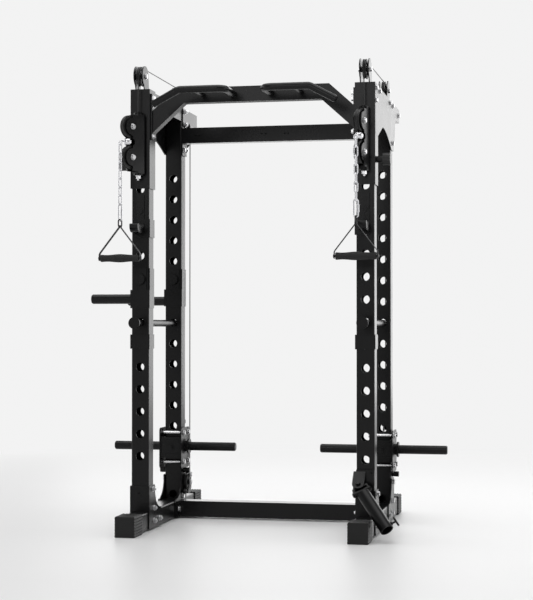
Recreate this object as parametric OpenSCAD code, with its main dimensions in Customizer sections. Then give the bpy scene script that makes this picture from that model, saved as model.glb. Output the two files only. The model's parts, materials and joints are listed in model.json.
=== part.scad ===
// Power cage with two weight carriages, swivelling high pulleys, J-cups, pin-pipe safeties and a landmine.
// Frame: +X to the right, +Y to the back, +Z up, origin on the floor under the middle of the base.

/* [Cage] */
// Distance between the upright centres, side to side
cage_w = 1020; // [960:10:1100]
// Distance between the upright centres, front to back
cage_d = 566; // [540:2:640]
// Side of the square upright and base tube
tube = 80; // [76:1:84]
// Wall of the square tubes
tube_wall = 3; // [2:0.5:4]
// Height of the front uprights above the floor
front_h = 1980; // [1960:5:2040]
// Length of the base, end cap to end cap
base_len = 1180; // [1160:5:1300]
// Distance of the front upright centres behind the front end of the base
front_set = 276; // [270:2:290]

/* [Holes] */
// Diameter of the holes in the uprights
hole_d = 38; // [34:0.5:40]
// Distance between the holes
hole_pitch = 100; // [96:1:100]
// Height of the lowest hole in a front upright
hole_low = 335; // [330:1:345]
// Number of holes in a front upright
hole_n = 13; // [8:1:13]

/* [Base] */
// Wall of the rubber end caps
cap_wall = 6; // [5:0.5:8]
// Length of the rubber end caps
cap_len = 120; // [80:5:130]
// Height of the ribs on the end caps
rib_h = 3; // [2:0.5:3.5]
// Number of ribs on each side of an end cap
rib_n = 7; // [5:1:9]
// Thickness of the bracket plates
plate = 5; // [4:0.5:6]
// Height of the foot brackets above the floor
foot_h = 202; // [190:2:210]
// Side of the lower crossmember tube
cross_side = 75; // [70:1:78]

/* [Top] */
// Height of the top side beams
beam_h = 65; // [60:1:70]
// Overhang of the top side beams behind the rear upright centres
beam_over = 264; // [200:2:290]
// Height of the pull-up bar section
bar_h = 68; // [60:1:72]
// Depth of the pull-up bar section
bar_depth = 50; // [40:1:56]
// Diameter of the grip bars
grip_d = 32; // [28:1:35]
// Distance of the grip bars in front of the pull-up bar's axis
grip_out = 200; // [170:5:220]

/* [Pulleys] */
// Groove radius of the top pulleys
wheel_r = 40; // [38:0.5:41]
// Width of the pulley wheels
wheel_t = 16; // [12:0.5:18]
// Groove radius of the swivel pulleys
swivel_r = 47.5; // [46:0.5:50]
// Distance between the two axles of a swivel block
swivel_pitch = 136; // [130:1:140]
// Diameter of the pulley axles
axle_d = 12; // [10:0.5:13]
// Diameter of the cable
cable_d = 4.6; // [4:0.2:5]
// Radius of the stop ball
ball_r = 19; // [16:0.5:20]

/* [Weight carriages] */
// Diameter of the loading pegs
peg_d = 42; // [36:1:46]
// Reach of the loading pegs from the upright centre
peg_reach = 302; // [240:2:302]
// Height of a carriage's side plates
carriage_h = 196; // [190:2:200]
// Height of the pegs at rest
peg_z = 336; // [334:1:338]
// Diameter of the guide rollers
roller_d = 18; // [16:0.5:19]
// Distance between the upper and the lower guide rollers
roller_pitch = 140; // [134:1:144]

/* [Attachments] */
// Diameter of the pin-pipe safeties
pipe_d = 32; // [28:0.5:33]
// Height of the pin-pipe safeties above the lowest front hole, in holes
pipe_hole = 6; // [5:1:6]
// Reach of a J-cup in front of the upright
cup_reach = 108; // [90:1:110]
// Width of a J-cup
cup_w = 38; // [34:1:44]
// Wire diameter of the chain links
link_wire = 6; // [5:0.5:6.5]
// Distance from link to link
link_pitch = 38; // [34:0.5:40]
// Number of links in a chain
link_n = 7; // [5:1:8]
// Length of a hand grip
handle_w = 176; // [160:2:184]
// Diameter of a hand grip
grip_od = 37; // [30:1:40]
// Outer diameter of the landmine sleeve
sleeve_d = 58; // [52:1:58]
// Bore of the landmine sleeve
sleeve_bore = 52; // [44:1:52]

/* [Hidden] */
$fn = 48;

// Running clearance of a shaft in its hole, and the gap between faces that move past each other
run = 0.05;
gap = 0.3;

half_w = cage_w / 2;
half_tube = tube / 2;
front_y = front_set - base_len / 2;
rear_y = front_y + cage_d;
front_face = front_y - half_tube;
rear_front_face = rear_y - half_tube;
rear_back_face = rear_y + half_tube;
off = cable_d / 2 + 0.2;
lift_line = rear_back_face + 43;
tube_low = cap_wall;
base_top = cap_wall + tube;
beam_low = front_h - beam_h;
rear_h = beam_low;
corner_r = 6;

steel = [0.11, 0.11, 0.12];
chrome = [0.80, 0.81, 0.83];
rubber = [0.07, 0.07, 0.07];

// ---------------------------------------------------------------- shared shapes

// A rectangle with rounded corners, centred
module round_rect(w, h, r, n = 3) {
    polygon([for (c = [[1, 1, 0], [-1, 1, 90], [-1, -1, 180], [1, -1, 270]]) for (i = [0:n])
        [c[0] * (w / 2 - r) + r * cos(c[2] + 90 * i / n), c[1] * (h / 2 - r) + r * sin(c[2] + 90 * i / n)]]);
}

// A square tube standing on the XY plane, open inside and closed by a plug at the top if asked
module square_tube(len, plug = 0) {
    difference() {
        linear_extrude(len) round_rect(tube, tube, corner_r);
        translate([0, 0, -1]) linear_extrude(len - plug + (plug > 0 ? 1 : 2)) square(tube - 2 * tube_wall, center = true);
    }
}

// Its child's +Z is turned to point along +Y, -Y, +X or -X
module along_y() { rotate([-90, 0, 0]) children(); }
module toward_front() { rotate([90, 0, 0]) children(); }
module along_x() { rotate([0, 90, 0]) children(); }
module on_side(s) { rotate([0, 90 * s, 0]) children(); }

// A plate in a YZ plane from x = 0 to x = t, drawn with the polygon's points as [y, z]
module yz_plate(t) { rotate([90, 0, 90]) linear_extrude(t) children(); }

// A plate in an XZ plane from y = 0 to y = t, drawn with the polygon's points as [x, z]
module xz_plate(t) { translate([0, t, 0]) rotate([90, 0, 0]) linear_extrude(t) children(); }

// Puts its children at the left and at the right upright, mirrored
module both_sides() {
    for (s = [-1, 1]) at_side(s) children();
}
module at_side(s) {
    if (s > 0) translate([half_w, 0, 0]) children();
    else mirror([1, 0, 0]) translate([half_w, 0, 0]) children();
}

// A hexagon bolt head on a washer, its +Z pointing away from the plate
bolt_head_r = 11;
washer_r = 13;
module bolt_head(h = 8) {
    cylinder(r = washer_r, h = 2);
    translate([0, 0, 2]) cylinder(r = bolt_head_r, h = h, $fn = 6);
}
// The nut end of the same bolt, with the thread standing out
module bolt_nut() {
    bolt_head(9);
    translate([0, 0, 11]) cylinder(r = 5.5, h = 5);
}

// ---------------------------------------------------------------- base

module base_tube() {
    translate([0, -base_len / 2 + cap_wall, tube_low + half_tube]) along_y() square_tube(base_len - 2 * cap_wall);
}

// The end cap's outline seen from the front: flat under, saw-toothed ribs on both sides and on top
cap_half = half_tube + cap_wall;
cap_h = tube + 2 * cap_wall;
function side_ribs(x0, dir) = [for (i = [0:rib_n * 2]) [x0 + (i % 2 == 0 ? -dir * rib_h : 0),
    (cap_h - rib_h) * (dir > 0 ? i / (rib_n * 2) : 1 - i / (rib_n * 2))]];
function top_ribs() = [for (i = [1:rib_n * 2 - 1]) [cap_half - 2 * cap_half * i / (rib_n * 2),
    cap_h - (i % 2 == 0 ? rib_h : 0)]];
module cap_outline() {
    polygon(concat(side_ribs(cap_half, 1), top_ribs(), side_ribs(-cap_half, -1)));
}
module end_cap() {
    difference() {
        xz_plate(cap_len) cap_outline();
        translate([-half_tube, cap_wall, tube_low]) cube([tube, cap_len, tube]);
    }
}
module base_end_caps() {
    color(rubber) both_sides() {
        translate([0, -base_len / 2, 0]) end_cap();
        mirror([0, 1, 0]) translate([0, -base_len / 2, 0]) end_cap();
    }
}

// ---------------------------------------------------------------- uprights

front_holes = [for (i = [0:hole_n - 1]) hole_low + i * hole_pitch];
rear_holes = concat([hole_low - 228], [for (i = [0:hole_n]) hole_low + i * hole_pitch]);
pin_z = front_h - 330;
pin_d = 16;
module upright(h, holes) {
    translate([0, 0, base_top]) difference() {
        square_tube(h - base_top, tube_wall);
        for (z = holes) translate([0, -tube, z - base_top]) along_y() cylinder(h = 2 * tube, d = hole_d);
        children();
    }
}
module upright_front() {
    translate([0, front_y, 0]) upright(front_h, front_holes)
        translate([half_tube - 2 * tube_wall, 0, pin_z - base_top]) along_x() cylinder(h = 4 * tube_wall, d = pin_d + 1);
}
carriage_low = peg_z - carriage_h / 2 - 5;
stop_d = 25;
stop_z = carriage_low - stop_d / 2 - gap;
module upright_rear() {
    translate([0, rear_y, 0]) upright(rear_h, rear_holes)
        translate([-tube, 0, stop_z - base_top]) along_x() cylinder(h = 2 * tube, d = stop_d + 2 * run);
}

// ---------------------------------------------------------------- foot brackets

// Side plate of a foot bracket as [y, z] from the upright's centre: straight in front, flared behind
foot_low = tube_low + 2;
flare = 110;
flare_r = 95;
module foot_side() {
    back = half_tube + 9;
    difference() {
        polygon([[-half_tube - plate, foot_low], [back + flare, foot_low], [back + flare, base_top - 8],
            [back + flare_r, base_top + 6], [back + flare_r, foot_h], [-half_tube - plate, foot_h]]);
        translate([back + flare_r, base_top + 6 + flare_r]) circle(r = flare_r, $fn = 64);
        translate([back, base_top + 6 + flare_r]) square([flare_r + 1, foot_h]);
    }
}
module foot_bracket() {
    translate([half_tube, 0, 0]) yz_plate(plate) foot_side();
    translate([-half_tube - plate, 0, 0]) yz_plate(plate) foot_side();
    difference() {
        translate([-half_tube, -half_tube - plate, base_top]) cube([tube, plate, foot_h - base_top]);
        translate([0, -half_tube - 2 * plate, foot_h - 32]) along_y() cylinder(h = 3 * plate, d = 12);
    }
}
module foot_brackets() {
    color(steel) both_sides() {
        translate([0, front_y, 0]) foot_bracket();
        translate([0, rear_y, 0]) mirror([0, 1, 0]) foot_bracket();
    }
}

// ---------------------------------------------------------------- crossmembers

flange_t = 8;
cross_y = rear_y - 77;
cross_half = half_w - half_tube - plate - flange_t;
module box_tube_x(half_len, d, h, wall) {
    difference() {
        translate([-half_len, -d / 2, 0]) cube([2 * half_len, d, h]);
        translate([-half_len + wall, -d / 2 + wall, wall]) cube([2 * half_len - 2 * wall, d - 2 * wall, h - 2 * wall]);
    }
}
module rear_lower_crossmember() {
    color(steel) translate([0, cross_y, foot_low]) {
        box_tube_x(cross_half, cross_side, cross_side, tube_wall);
        for (s = [-1, 1]) translate([s > 0 ? cross_half : -cross_half - flange_t, -65, 0]) cube([flange_t, 130, cross_side]);
    }
}
upper_flange = 6;
upper_half = half_w - half_tube - upper_flange;
upper_h = 75;
upper_d = 50;
upper_z = rear_h - 34 - upper_h;
upper_y = rear_front_face + 2 + upper_d / 2;
module rear_upper_crossmember() {
    color(steel) difference() {
        translate([0, upper_y, upper_z]) {
            box_tube_x(upper_half, upper_d, upper_h, tube_wall);
            for (s = [-1, 1]) translate([s > 0 ? upper_half : -upper_half - upper_flange, -upper_d / 2, -58])
                cube([upper_flange, 76, upper_h + 62]);
        }
        for (x = [-half_w + 110, -70, 40, half_w - 110], dx = [0, 18]) translate([x + dx, upper_y - upper_d, upper_z + upper_h / 2])
            along_y() cylinder(h = upper_d, d = 7, $fn = 24);
    }
}

// ---------------------------------------------------------------- top side beams and side plates

beam_back = rear_y + beam_over;
beam_front = front_y + half_tube;
top_axle_z = front_h + 63;
rear_axle_y = lift_line - wheel_r - off;
slot_d = 14;
module top_side_beam() {
    difference() {
        translate([-half_tube, beam_front, beam_low]) cube([tube, beam_back - beam_front, beam_h]);
        translate([-half_tube + tube_wall, beam_front + tube_wall, beam_low + tube_wall])
            cube([tube - 2 * tube_wall, beam_back - beam_front - 2 * tube_wall, beam_h - 2 * tube_wall]);
        translate([0, lift_line, beam_low - 1]) cylinder(h = beam_h + 2, d = slot_d);
    }
    translate([-half_tube - plate, rear_y - 28, rear_h - 24]) cube([plate, 66, beam_h + 24]);
}
module top_side_beams() { color(steel) both_sides() top_side_beam(); }

side_foot_z = front_h - 224;
arch_peak = front_y + 228;
arch_rise = 62;
arch_end = rear_front_face;
side_front = front_face + 4;
// The plate's tail behind the rear upright, rising to the beam's underside
tail_foot = 10;
tail_knee = 80;
tail_end = 100;
function arch_right() = [for (i = [0:12]) let (t = i / 12)
    [arch_peak + t * (arch_end - arch_peak), side_foot_z - 4 + (arch_rise + 4) * cos(90 * t)]];
module side_plate_outline() {
    polygon(concat([[side_front, side_foot_z], [front_y + half_tube, side_foot_z], [arch_peak - 30, side_foot_z + arch_rise - 4]], arch_right(),
        [[rear_back_face, side_foot_z - 4], [rear_back_face + tail_foot, side_foot_z + 2], [rear_back_face + tail_knee, beam_low - 8],
        [rear_back_face + tail_end, beam_low], [beam_back, beam_low], [beam_back, front_h], [side_front, front_h]]));
}
module side_plates() { color(steel) both_sides() translate([half_tube, 0, 0]) yz_plate(plate) side_plate_outline(); }

// ---------------------------------------------------------------- pull-up bar and grips

bar_z = front_h + 8 - bar_h;
bar_bend = 348;
bar_slope = 42;
bar_end = half_w - half_tube - plate - flange_t;
// The bar's outline as [x, z], drawn inward by inset
function bar_top(i) = bar_z + bar_h - i;
function bar_low(i) = bar_z + i;
function bend_top(i) = bar_bend - i * tan(bar_slope / 2);
function bend_low(i) = bar_bend - bar_h * tan(bar_slope / 2) - 10 + i * tan(bar_slope / 2);
module bar_outline(i) {
    e = bar_end - i;
    polygon([[-e, bar_top(i) - (e - bend_top(i)) * tan(bar_slope)], [-bend_top(i), bar_top(i)], [bend_top(i), bar_top(i)],
        [e, bar_top(i) - (e - bend_top(i)) * tan(bar_slope)], [e, bar_low(i) - (e - bend_low(i)) * tan(bar_slope)],
        [bend_low(i), bar_low(i)], [-bend_low(i), bar_low(i)], [-e, bar_low(i) - (e - bend_low(i)) * tan(bar_slope)]]);
}
bar_flange_z = [front_h - 225, front_h - 15];
module pull_up_bar() {
    color(steel) {
        difference() {
            translate([0, front_y - bar_depth / 2, 0]) xz_plate(bar_depth) bar_outline(0);
            translate([0, front_y - bar_depth / 2 + tube_wall, 0]) xz_plate(bar_depth - 2 * tube_wall) bar_outline(tube_wall);
        }
        for (s = [-1, 1]) translate([s > 0 ? bar_end : -bar_end - flange_t, front_y - 34, bar_flange_z[0]])
            cube([flange_t, 68, bar_flange_z[1] - bar_flange_z[0]]);
    }
}

grip_y = front_y - grip_out;
grip_z = bar_z + bar_h / 2 - 1;
grip_in = 85;
grip_bend = 291;
grip_slope = 28;
grip_tail = 120;
grip_r = 40;
stub_x = 223;
bar_face = front_y - bar_depth / 2;
module grip_bar() {
    // inner stub, quarter bend, straight run, downward bend, tail
    translate([grip_in, bar_face, grip_z]) toward_front() cylinder(h = grip_out - bar_depth / 2 - grip_r, d = grip_d);
    translate([grip_in + grip_r, grip_y + grip_r, grip_z]) rotate([0, 0, 180])
        rotate_extrude(angle = 90) translate([grip_r, 0]) circle(d = grip_d);
    run_len = grip_bend - grip_in - grip_r - grip_r * tan(grip_slope / 2);
    translate([grip_in + grip_r, grip_y, grip_z]) along_x() cylinder(h = run_len, d = grip_d);
    translate([grip_in + grip_r + run_len, grip_y, grip_z - grip_r]) rotate([90, 0, 0]) rotate([0, 0, 90 - grip_slope]) {
        rotate_extrude(angle = grip_slope) translate([grip_r, 0]) circle(d = grip_d);
        translate([grip_r, 0, 0]) rotate([90, 0, 0]) {
            cylinder(h = grip_tail, d = grip_d);
            translate([0, 0, grip_tail]) cylinder(h = 3, d = grip_d - 5);
        }
    }
    translate([stub_x, bar_face, grip_z]) toward_front() cylinder(h = grip_out - bar_depth / 2, d = 22);
}
module grip_bars() { color(steel) for (m = [0, 1]) mirror([m, 0, 0]) grip_bar(); }

// ---------------------------------------------------------------- pulley towers on the front uprights

tower_h = 443;
tower_low = front_h - tower_h;
tower_top = front_h + plate;
pivot_y = front_face - 35;
front_axle_y = pivot_y + wheel_r + off;
cheek_in = 17;
cheek_t = 5;
cheek_r = wheel_r + 7;
lug_r = 20;
lug_t = 8;
swivel_z = front_h - 242;
lug_top_z = swivel_z + swivel_pitch / 2 + swivel_r + 12;
lug_low_z = swivel_z - swivel_pitch / 2 - swivel_r - 30;
trunnion_d = 24;
pivot_d = 12;
knob_neck_d = 29;
knob_neck = 28;
// Cheek of a top pulley as [y, z], standing on z = tower_top
module tower_cheek(axle_y, back, front) {
    polygon([[front, tower_top - plate], [back, tower_top - plate], [axle_y + cheek_r * cos(12), top_axle_z + cheek_r * sin(12)],
        [axle_y - cheek_r * cos(12), top_axle_z + cheek_r * sin(12)]]);
    translate([axle_y, top_axle_z]) circle(r = cheek_r);
}
module tower_cheeks(axle_y, back, front) {
    for (x = [cheek_in, -cheek_in - cheek_t]) translate([x, 0, 0]) yz_plate(cheek_t)
        difference() {
            tower_cheek(axle_y, back, front);
            translate([axle_y, top_axle_z]) circle(d = axle_d + 0.2);
        }
}
module lug(z, bore) {
    difference() {
        union() {
            translate([-lug_r, pivot_y, z]) cube([2 * lug_r, front_face - plate - pivot_y, lug_t]);
            translate([0, pivot_y, z]) cylinder(r = lug_r, h = lug_t);
        }
        translate([0, pivot_y, z - 1]) cylinder(d = bore, h = lug_t + 2);
    }
}
module pulley_tower() {
    out = half_tube + plate;
    side_back = front_y + half_tube + 6;
    difference() {
        union() {
            translate([-out, front_face - plate, tower_low]) cube([2 * out, plate, tower_top - tower_low]);
            translate([-out, front_face - 1, tower_low]) cube([plate, side_back - front_face + 1, tower_top - tower_low]);
            translate([half_tube, front_face - 1, tower_low]) cube([plate, side_back - front_face + 1, side_foot_z - 0.5 - tower_low]);
            translate([-out, front_face - 1, front_h]) cube([2 * out, side_back - front_face + 1, plate]);
            translate([out - 1, front_y, pin_z]) along_x() cylinder(d = knob_neck_d, h = knob_neck + 1);
        }
        translate([half_tube - 1, front_y, pin_z]) along_x() cylinder(d = pin_d + 1, h = knob_neck + 2 * plate);
    }
    difference() {
        tower_cheeks(front_axle_y, front_y + half_tube - 16, front_face - plate);
        translate([-2 * tube, front_face, front_h - 2 * plate]) cube([4 * tube, 2 * tube, 2 * plate]);
    }
    lug(lug_top_z, trunnion_d + 2 * run);
    lug(lug_low_z, pivot_d + 0.2);
}
module pulley_towers() { color(steel) both_sides() pulley_tower(); }

// ---------------------------------------------------------------- rear pulley brackets

lift_r = 25;
lift_up = 112;
lift_z = peg_z + lift_up;
lift_t = 12;
lift_y = lift_line + lift_r + off;
// The cable rises again behind the lift pulley, and falls beside the carriage to the low pulley
rise_y = lift_line + 2 * (lift_r + off);
fall_y = rear_back_face + 14;
low_r = 38;
low_t = 10;
low_half = low_t / 2 + 4;
fork_t = 5;
low_x = -half_tube - plate - fork_t - low_half;
low_y = fall_y - low_r - off;
low_z = 160;
// The return pulley stands square to the line from the rising run to the falling one
return_d = norm([low_x, rise_y - fall_y]);
return_r = return_d / 2 - off;
return_turn = atan2(low_x, rise_y - fall_y);
return_z = beam_low - 8 - return_r - cable_d;
cable_mid_z = return_z - 60;
stop_y = low_y - low_r - 2;
module return_frame() { translate([low_x / 2, (rise_y + fall_y) / 2, 0]) rotate([0, 0, return_turn]) children(); }
module round_end(r, y, z0, z1) {
    translate([y, z0]) circle(r = r);
    translate([y - r, min(z0, z1)]) square([2 * r, abs(z1 - z0)]);
}
module axle_hole(y, z) { translate([y, z]) circle(d = axle_d + 0.2); }
module rear_pulley_bracket() {
    // rear top tower on the beam
    difference() {
        union() {
            translate([-34, rear_y - 30, front_h]) cube([68, 122, plate]);
            tower_cheeks(rear_axle_y, rear_y + 60, rear_y - 22);
        }
        translate([0, lift_line, front_h - 1]) cylinder(h = plate + 2, d = slot_d);
        translate([-tube, rear_y - tube, front_h - plate]) cube([2 * tube, 3 * tube, plate]);
    }
    // fork of the return pulley, hung under the beam
    return_frame() for (x = [-low_half - fork_t, low_half]) translate([x, 0, 0]) yz_plate(fork_t) difference() {
        round_end(18, 0, return_z, beam_low - 3);
        axle_hole(0, return_z);
    }
    translate([low_x / 2 - 23, low_y + 58, beam_low - 6]) cube([44, 50, 6]);
    // fork of the low pulley, its outer plate against the foot bracket
    difference() {
        union() {
            for (x = [low_x - low_half - fork_t, low_x + low_half]) translate([x, 0, 0]) yz_plate(fork_t) union() {
                round_end(20, low_y, low_z - 18, low_z + low_r + 8.5);
                polygon([[low_y - 19, low_z - 26], [stop_y, low_z - low_r + 6], [stop_y, low_z - low_r - 12],
                    [low_y - 6, low_z - low_r - 10], [low_y + 19, low_z - 26]]);
            }
            translate([low_x - low_half - 1, stop_y, low_z - low_r - 12]) cube([2 * low_half + 2, 4, 18]);
        }
        translate([low_x - 2 * low_half, low_y, low_z]) along_x() cylinder(h = 4 * low_half, d = axle_d + 0.2);
        translate([low_x, stop_y - 1, low_z - low_r - off]) along_y() cylinder(h = 6, d = cable_d + 2);
    }
    translate([low_x - low_half - 1, low_y + 15, low_z + low_r + 3.5]) cube([2 * low_half + 2, 5, 5]);
}
module rear_pulley_brackets() { color(steel) both_sides() rear_pulley_bracket(); }

// ---------------------------------------------------------------- pulley wheels

// A grooved wheel on its axle, axis along Z, centred: rim, V groove, web with lightening rings and hub
rim_flat = 1.5;
module pulley_wheel(r_groove, t, hub_half, bore = axle_d + 2 * run) {
    rim = r_groove + cable_d;
    rotate_extrude($fn = 72) polygon([[bore / 2, -hub_half], [bore / 2 + 6, -hub_half], [bore / 2 + 6, -t * 0.2],
        [r_groove - 9, -t * 0.2], [r_groove - 6, -t / 2], [rim, -t / 2], [rim, -t / 2 + rim_flat], [r_groove, -1.6],
        [r_groove, 1.6], [rim, t / 2 - rim_flat], [rim, t / 2], [r_groove - 6, t / 2], [r_groove - 9, t * 0.2],
        [bore / 2 + 6, t * 0.2], [bore / 2 + 6, hub_half], [bore / 2, hub_half]]);
}
module rear_top_pulley() {
    color(rubber) translate([0, rear_axle_y, top_axle_z]) along_x() pulley_wheel(wheel_r, wheel_t, cheek_in - gap);
}
module front_top_pulley() {
    color(rubber) translate([0, front_axle_y, top_axle_z]) along_x() pulley_wheel(wheel_r, wheel_t, cheek_in - gap);
}
module return_pulley() {
    color(rubber) return_frame() translate([0, 0, return_z]) along_x() pulley_wheel(return_r, low_t, low_half - gap);
}
module low_pulley() {
    color(rubber) translate([low_x, low_y, low_z]) along_x() pulley_wheel(low_r, low_t, low_half - gap);
}
module lift_pulley() {
    color(rubber) translate([0, lift_y, lift_z]) along_x() pulley_wheel(lift_r, lift_t, lift_half - gap);
}

// ---------------------------------------------------------------- swivel blocks

// Local frame of a swivel block: its pivot at the origin of x and y, its mouth towards -Y
swivel_turn = [-30, -10.5];
function turn(s) = s > 0 ? swivel_turn[1] : swivel_turn[0];
module swivel_frame(s) { translate([s * half_w, pivot_y, 0]) rotate([0, 0, turn(s)]) children(); }
swivel_in = 15;
swivel_t = 4;
swivel_wheel_t = 18;
swivel_axle = swivel_r + off;
swivel_rim = swivel_r + cable_d;
cheek_round = 40;
swivel_back = 20;
block_low = lug_low_z + lug_t + gap;
block_top = lug_top_z - gap;
// Cheek as [y, z] with the mouth towards -y
module swivel_cheek() {
    difference() {
        union() {
            translate([-swivel_axle, block_low + 8]) square([swivel_axle + swivel_back, block_top - block_low - 14]);
            translate([-18, block_low]) square([18 + swivel_back, block_top - block_low]);
            for (d = [-1, 1]) translate([-swivel_axle, swivel_z + d * swivel_pitch / 2]) circle(r = cheek_round, $fn = 64);
        }
        translate([-swivel_axle, swivel_z]) circle(r = 14);
    }
}
module swivel_block(s) {
    color(steel) swivel_frame(s) {
        difference() {
            union() {
                for (x = [swivel_in, -swivel_in - swivel_t]) translate([x, 0, 0]) yz_plate(swivel_t) swivel_cheek();
                translate([-swivel_in, 12, block_low]) cube([2 * swivel_in, 8, block_top - block_low]);
                translate([-swivel_in, -18, block_top - 6]) cube([2 * swivel_in, 30, 6]);
                translate([-swivel_in, -18, block_low]) cube([2 * swivel_in, 30, 14]);
                translate([0, 0, block_top - 1]) cylinder(d = trunnion_d, h = lug_t + 5);
            }
            translate([0, 0, block_low - 1]) cylinder(d = pivot_d + 2 * run, h = 16);
            translate([0, 0, block_top - 12]) cylinder(d = 9, h = 40);
        }
        // wheel axles with their heads on the cheeks
        for (d = [-1, 1]) translate([0, -swivel_axle, swivel_z + d * swivel_pitch / 2]) {
            translate([-swivel_in - swivel_t, 0, 0]) along_x() cylinder(d = axle_d, h = 2 * (swivel_in + swivel_t));
            for (m = [-1, 1]) translate([m * (swivel_in + swivel_t), 0, 0]) on_side(m) bolt_head(6);
        }
    }
}
module swivel_pulley(s, d) {
    color(rubber) swivel_frame(s) translate([0, -swivel_axle, swivel_z + d * swivel_pitch / 2]) along_x()
        pulley_wheel(swivel_r, swivel_wheel_t, swivel_in - gap);
}

// ---------------------------------------------------------------- chains and handles

// The ball rests in the V between the two wheels, against the edges of their rims
ball_seat = swivel_rim + sqrt(pow(ball_r + gap, 2) - pow(swivel_wheel_t / 2 - rim_flat, 2));
ball_y = -swivel_axle - sqrt(ball_seat * ball_seat - pow(swivel_pitch / 2, 2));
link_w = link_wire * 3.5;
// The chain hangs in front of the lower wheel, its sideways links clear of the groove
chain_y = -swivel_axle - swivel_r - link_w / 2 - 2;
// Links hang in each other with a hair between them
hang = 0.2;
link_half = link_pitch / 2 + link_wire + hang / 2;
eye_r = 9;
// One oval link in the XZ plane, centred, made of two straight legs and two half rings
module chain_link() {
    ring = (link_w - link_wire) / 2;
    leg = link_half - link_w / 2;
    for (s = [-1, 1]) translate([s * ring, 0, -leg]) cylinder(d = link_wire, h = 2 * leg, $fn = 20);
    for (m = [0, 1]) mirror([0, 0, m]) translate([0, 0, leg]) rotate([90, 0, 0])
        rotate_extrude(angle = 180, $fn = 20) translate([ring, 0]) circle(d = link_wire, $fn = 20);
}
eye_z = swivel_z - eye_r;
chain_top = eye_z - eye_r + link_wire / 2 + hang - (link_half - link_wire);
chain_low = chain_top - link_pitch * (link_n - 1);
hook_d = 7;
hook_len = 84;
hook_top = chain_low - (link_half - link_wire) + hang + hook_d;
ring_r = 10;
ring_wire = 6;
ring_leg = 14;
ring_z = hook_top - hook_len + hook_d + hang - ring_r + ring_wire / 2;
module stop_ball() {
    // the ball, its stud and the ring that carries the chain
    translate([0, ball_y, swivel_z]) sphere(r = ball_r, $fn = 40);
    translate([0, ball_y - ball_r + 3, swivel_z]) toward_front() cylinder(d = 8, h = ball_y - ball_r + 3 - chain_y);
    translate([0, chain_y, eye_z]) rotate([90, 0, 0])
        rotate_extrude($fn = 28) translate([eye_r, 0]) circle(d = link_wire, $fn = 18);
}
// The snap hook: a long oval ring with a gate sleeve on one side
module snap_hook() {
    w = 26;
    ring = (w - hook_d) / 2;
    for (e = [[0, hook_top - w / 2], [1, hook_top - hook_len + w / 2]]) translate([0, 0, e[1]]) mirror([0, 0, e[0]])
        rotate([90, 0, 0]) rotate_extrude(angle = 180, $fn = 28) translate([ring, 0]) circle(d = hook_d, $fn = 18);
    for (s = [-1, 1]) translate([s * ring, 0, hook_top - hook_len + w / 2]) cylinder(d = hook_d, h = hook_len - w, $fn = 18);
    translate([ring, 0, hook_top - hook_len + 24]) cylinder(d = 11, h = 34, $fn = 24);
}
module pull_chain(s) {
    color(chrome) swivel_frame(s) {
        stop_ball();
        for (i = [0:link_n - 1]) translate([0, chain_y, chain_top - link_pitch * i])
            rotate([0, 0, i % 2 == 0 ? 90 : 0]) chain_link();
        translate([0, chain_y, 0]) rotate([0, 0, link_n % 2 == 0 ? 90 : 0]) snap_hook();
    }
}

// D-handle hanging under the hook, its plane square to the cage
handle_half = handle_w / 2 + 8;
apex_z = ring_z - ring_leg - ring_r + ring_wire / 2 - 1;
grip_axis_z = apex_z - 140;
strap_w = 25;
strap_t = 3;
rod_d = 10;
grip_waist = 3.6;
function chain_pos(s) = [s * half_w + chain_y * -sin(turn(s)), pivot_y + chain_y * cos(turn(s))];
module handle_frame(s) { translate([chain_pos(s)[0], chain_pos(s)[1], 0]) children(); }
module handle_strap(s) {
    color(steel) handle_frame(s) {
        // long ring through the snap hook
        translate([0, 0, ring_z]) rotate([0, 0, turn(s)]) {
            for (m = [0, 1]) translate([0, 0, -m * ring_leg]) mirror([0, 0, m]) rotate([90, 0, 90])
                rotate_extrude(angle = 180, $fn = 28) translate([ring_r, 0]) circle(d = ring_wire, $fn = 16);
            for (y = [-ring_r, ring_r]) translate([0, y, -ring_leg]) cylinder(d = ring_wire, h = ring_leg, $fn = 16);
        }
        // strap from the ring down to both ends of the grip rod
        leg_low = grip_axis_z + grip_od / 2 + 2;
        translate([0, -strap_w / 2, 0]) xz_plate(strap_w)
            polygon([[-5, apex_z], [5, apex_z], [handle_half, leg_low], [handle_half, grip_axis_z - 12],
                [handle_half - strap_t - 1, grip_axis_z - 12], [handle_half - strap_t - 1, leg_low - 2], [0, apex_z - 7],
                [-handle_half + strap_t + 1, leg_low - 2], [-handle_half + strap_t + 1, grip_axis_z - 12],
                [-handle_half, grip_axis_z - 12], [-handle_half, leg_low]]);
        translate([0, 0, apex_z - 3]) cube([12, strap_w, 6], center = true);
        translate([-handle_half - 3, 0, grip_axis_z]) along_x() cylinder(d = rod_d, h = 2 * handle_half + 6);
    }
}
module handle_grip(s) {
    color(rubber) handle_frame(s) translate([0, 0, grip_axis_z]) along_x()
        rotate_extrude($fn = 48) polygon(concat([[rod_d / 2 + run, -handle_w / 2]],
            [for (i = [0:16]) [(grip_od - grip_waist + grip_waist * cos(540 * (i - 8) / 16)) / 2, handle_w * (i - 8) / 16]],
            [[rod_d / 2 + run, handle_w / 2]]));
}

// ---------------------------------------------------------------- carriages

plate_in = half_tube + 9;
plate_t = 6;
carriage_front = rear_y - 92;
carriage_back = rear_y + 58;
roller_y = rear_front_face - roller_d / 2 - gap;
guide_y = rear_back_face + gap;
roller_z = peg_z - 2;
flange_x = 65;
lift_half = lift_t / 2 + 3;
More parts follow.
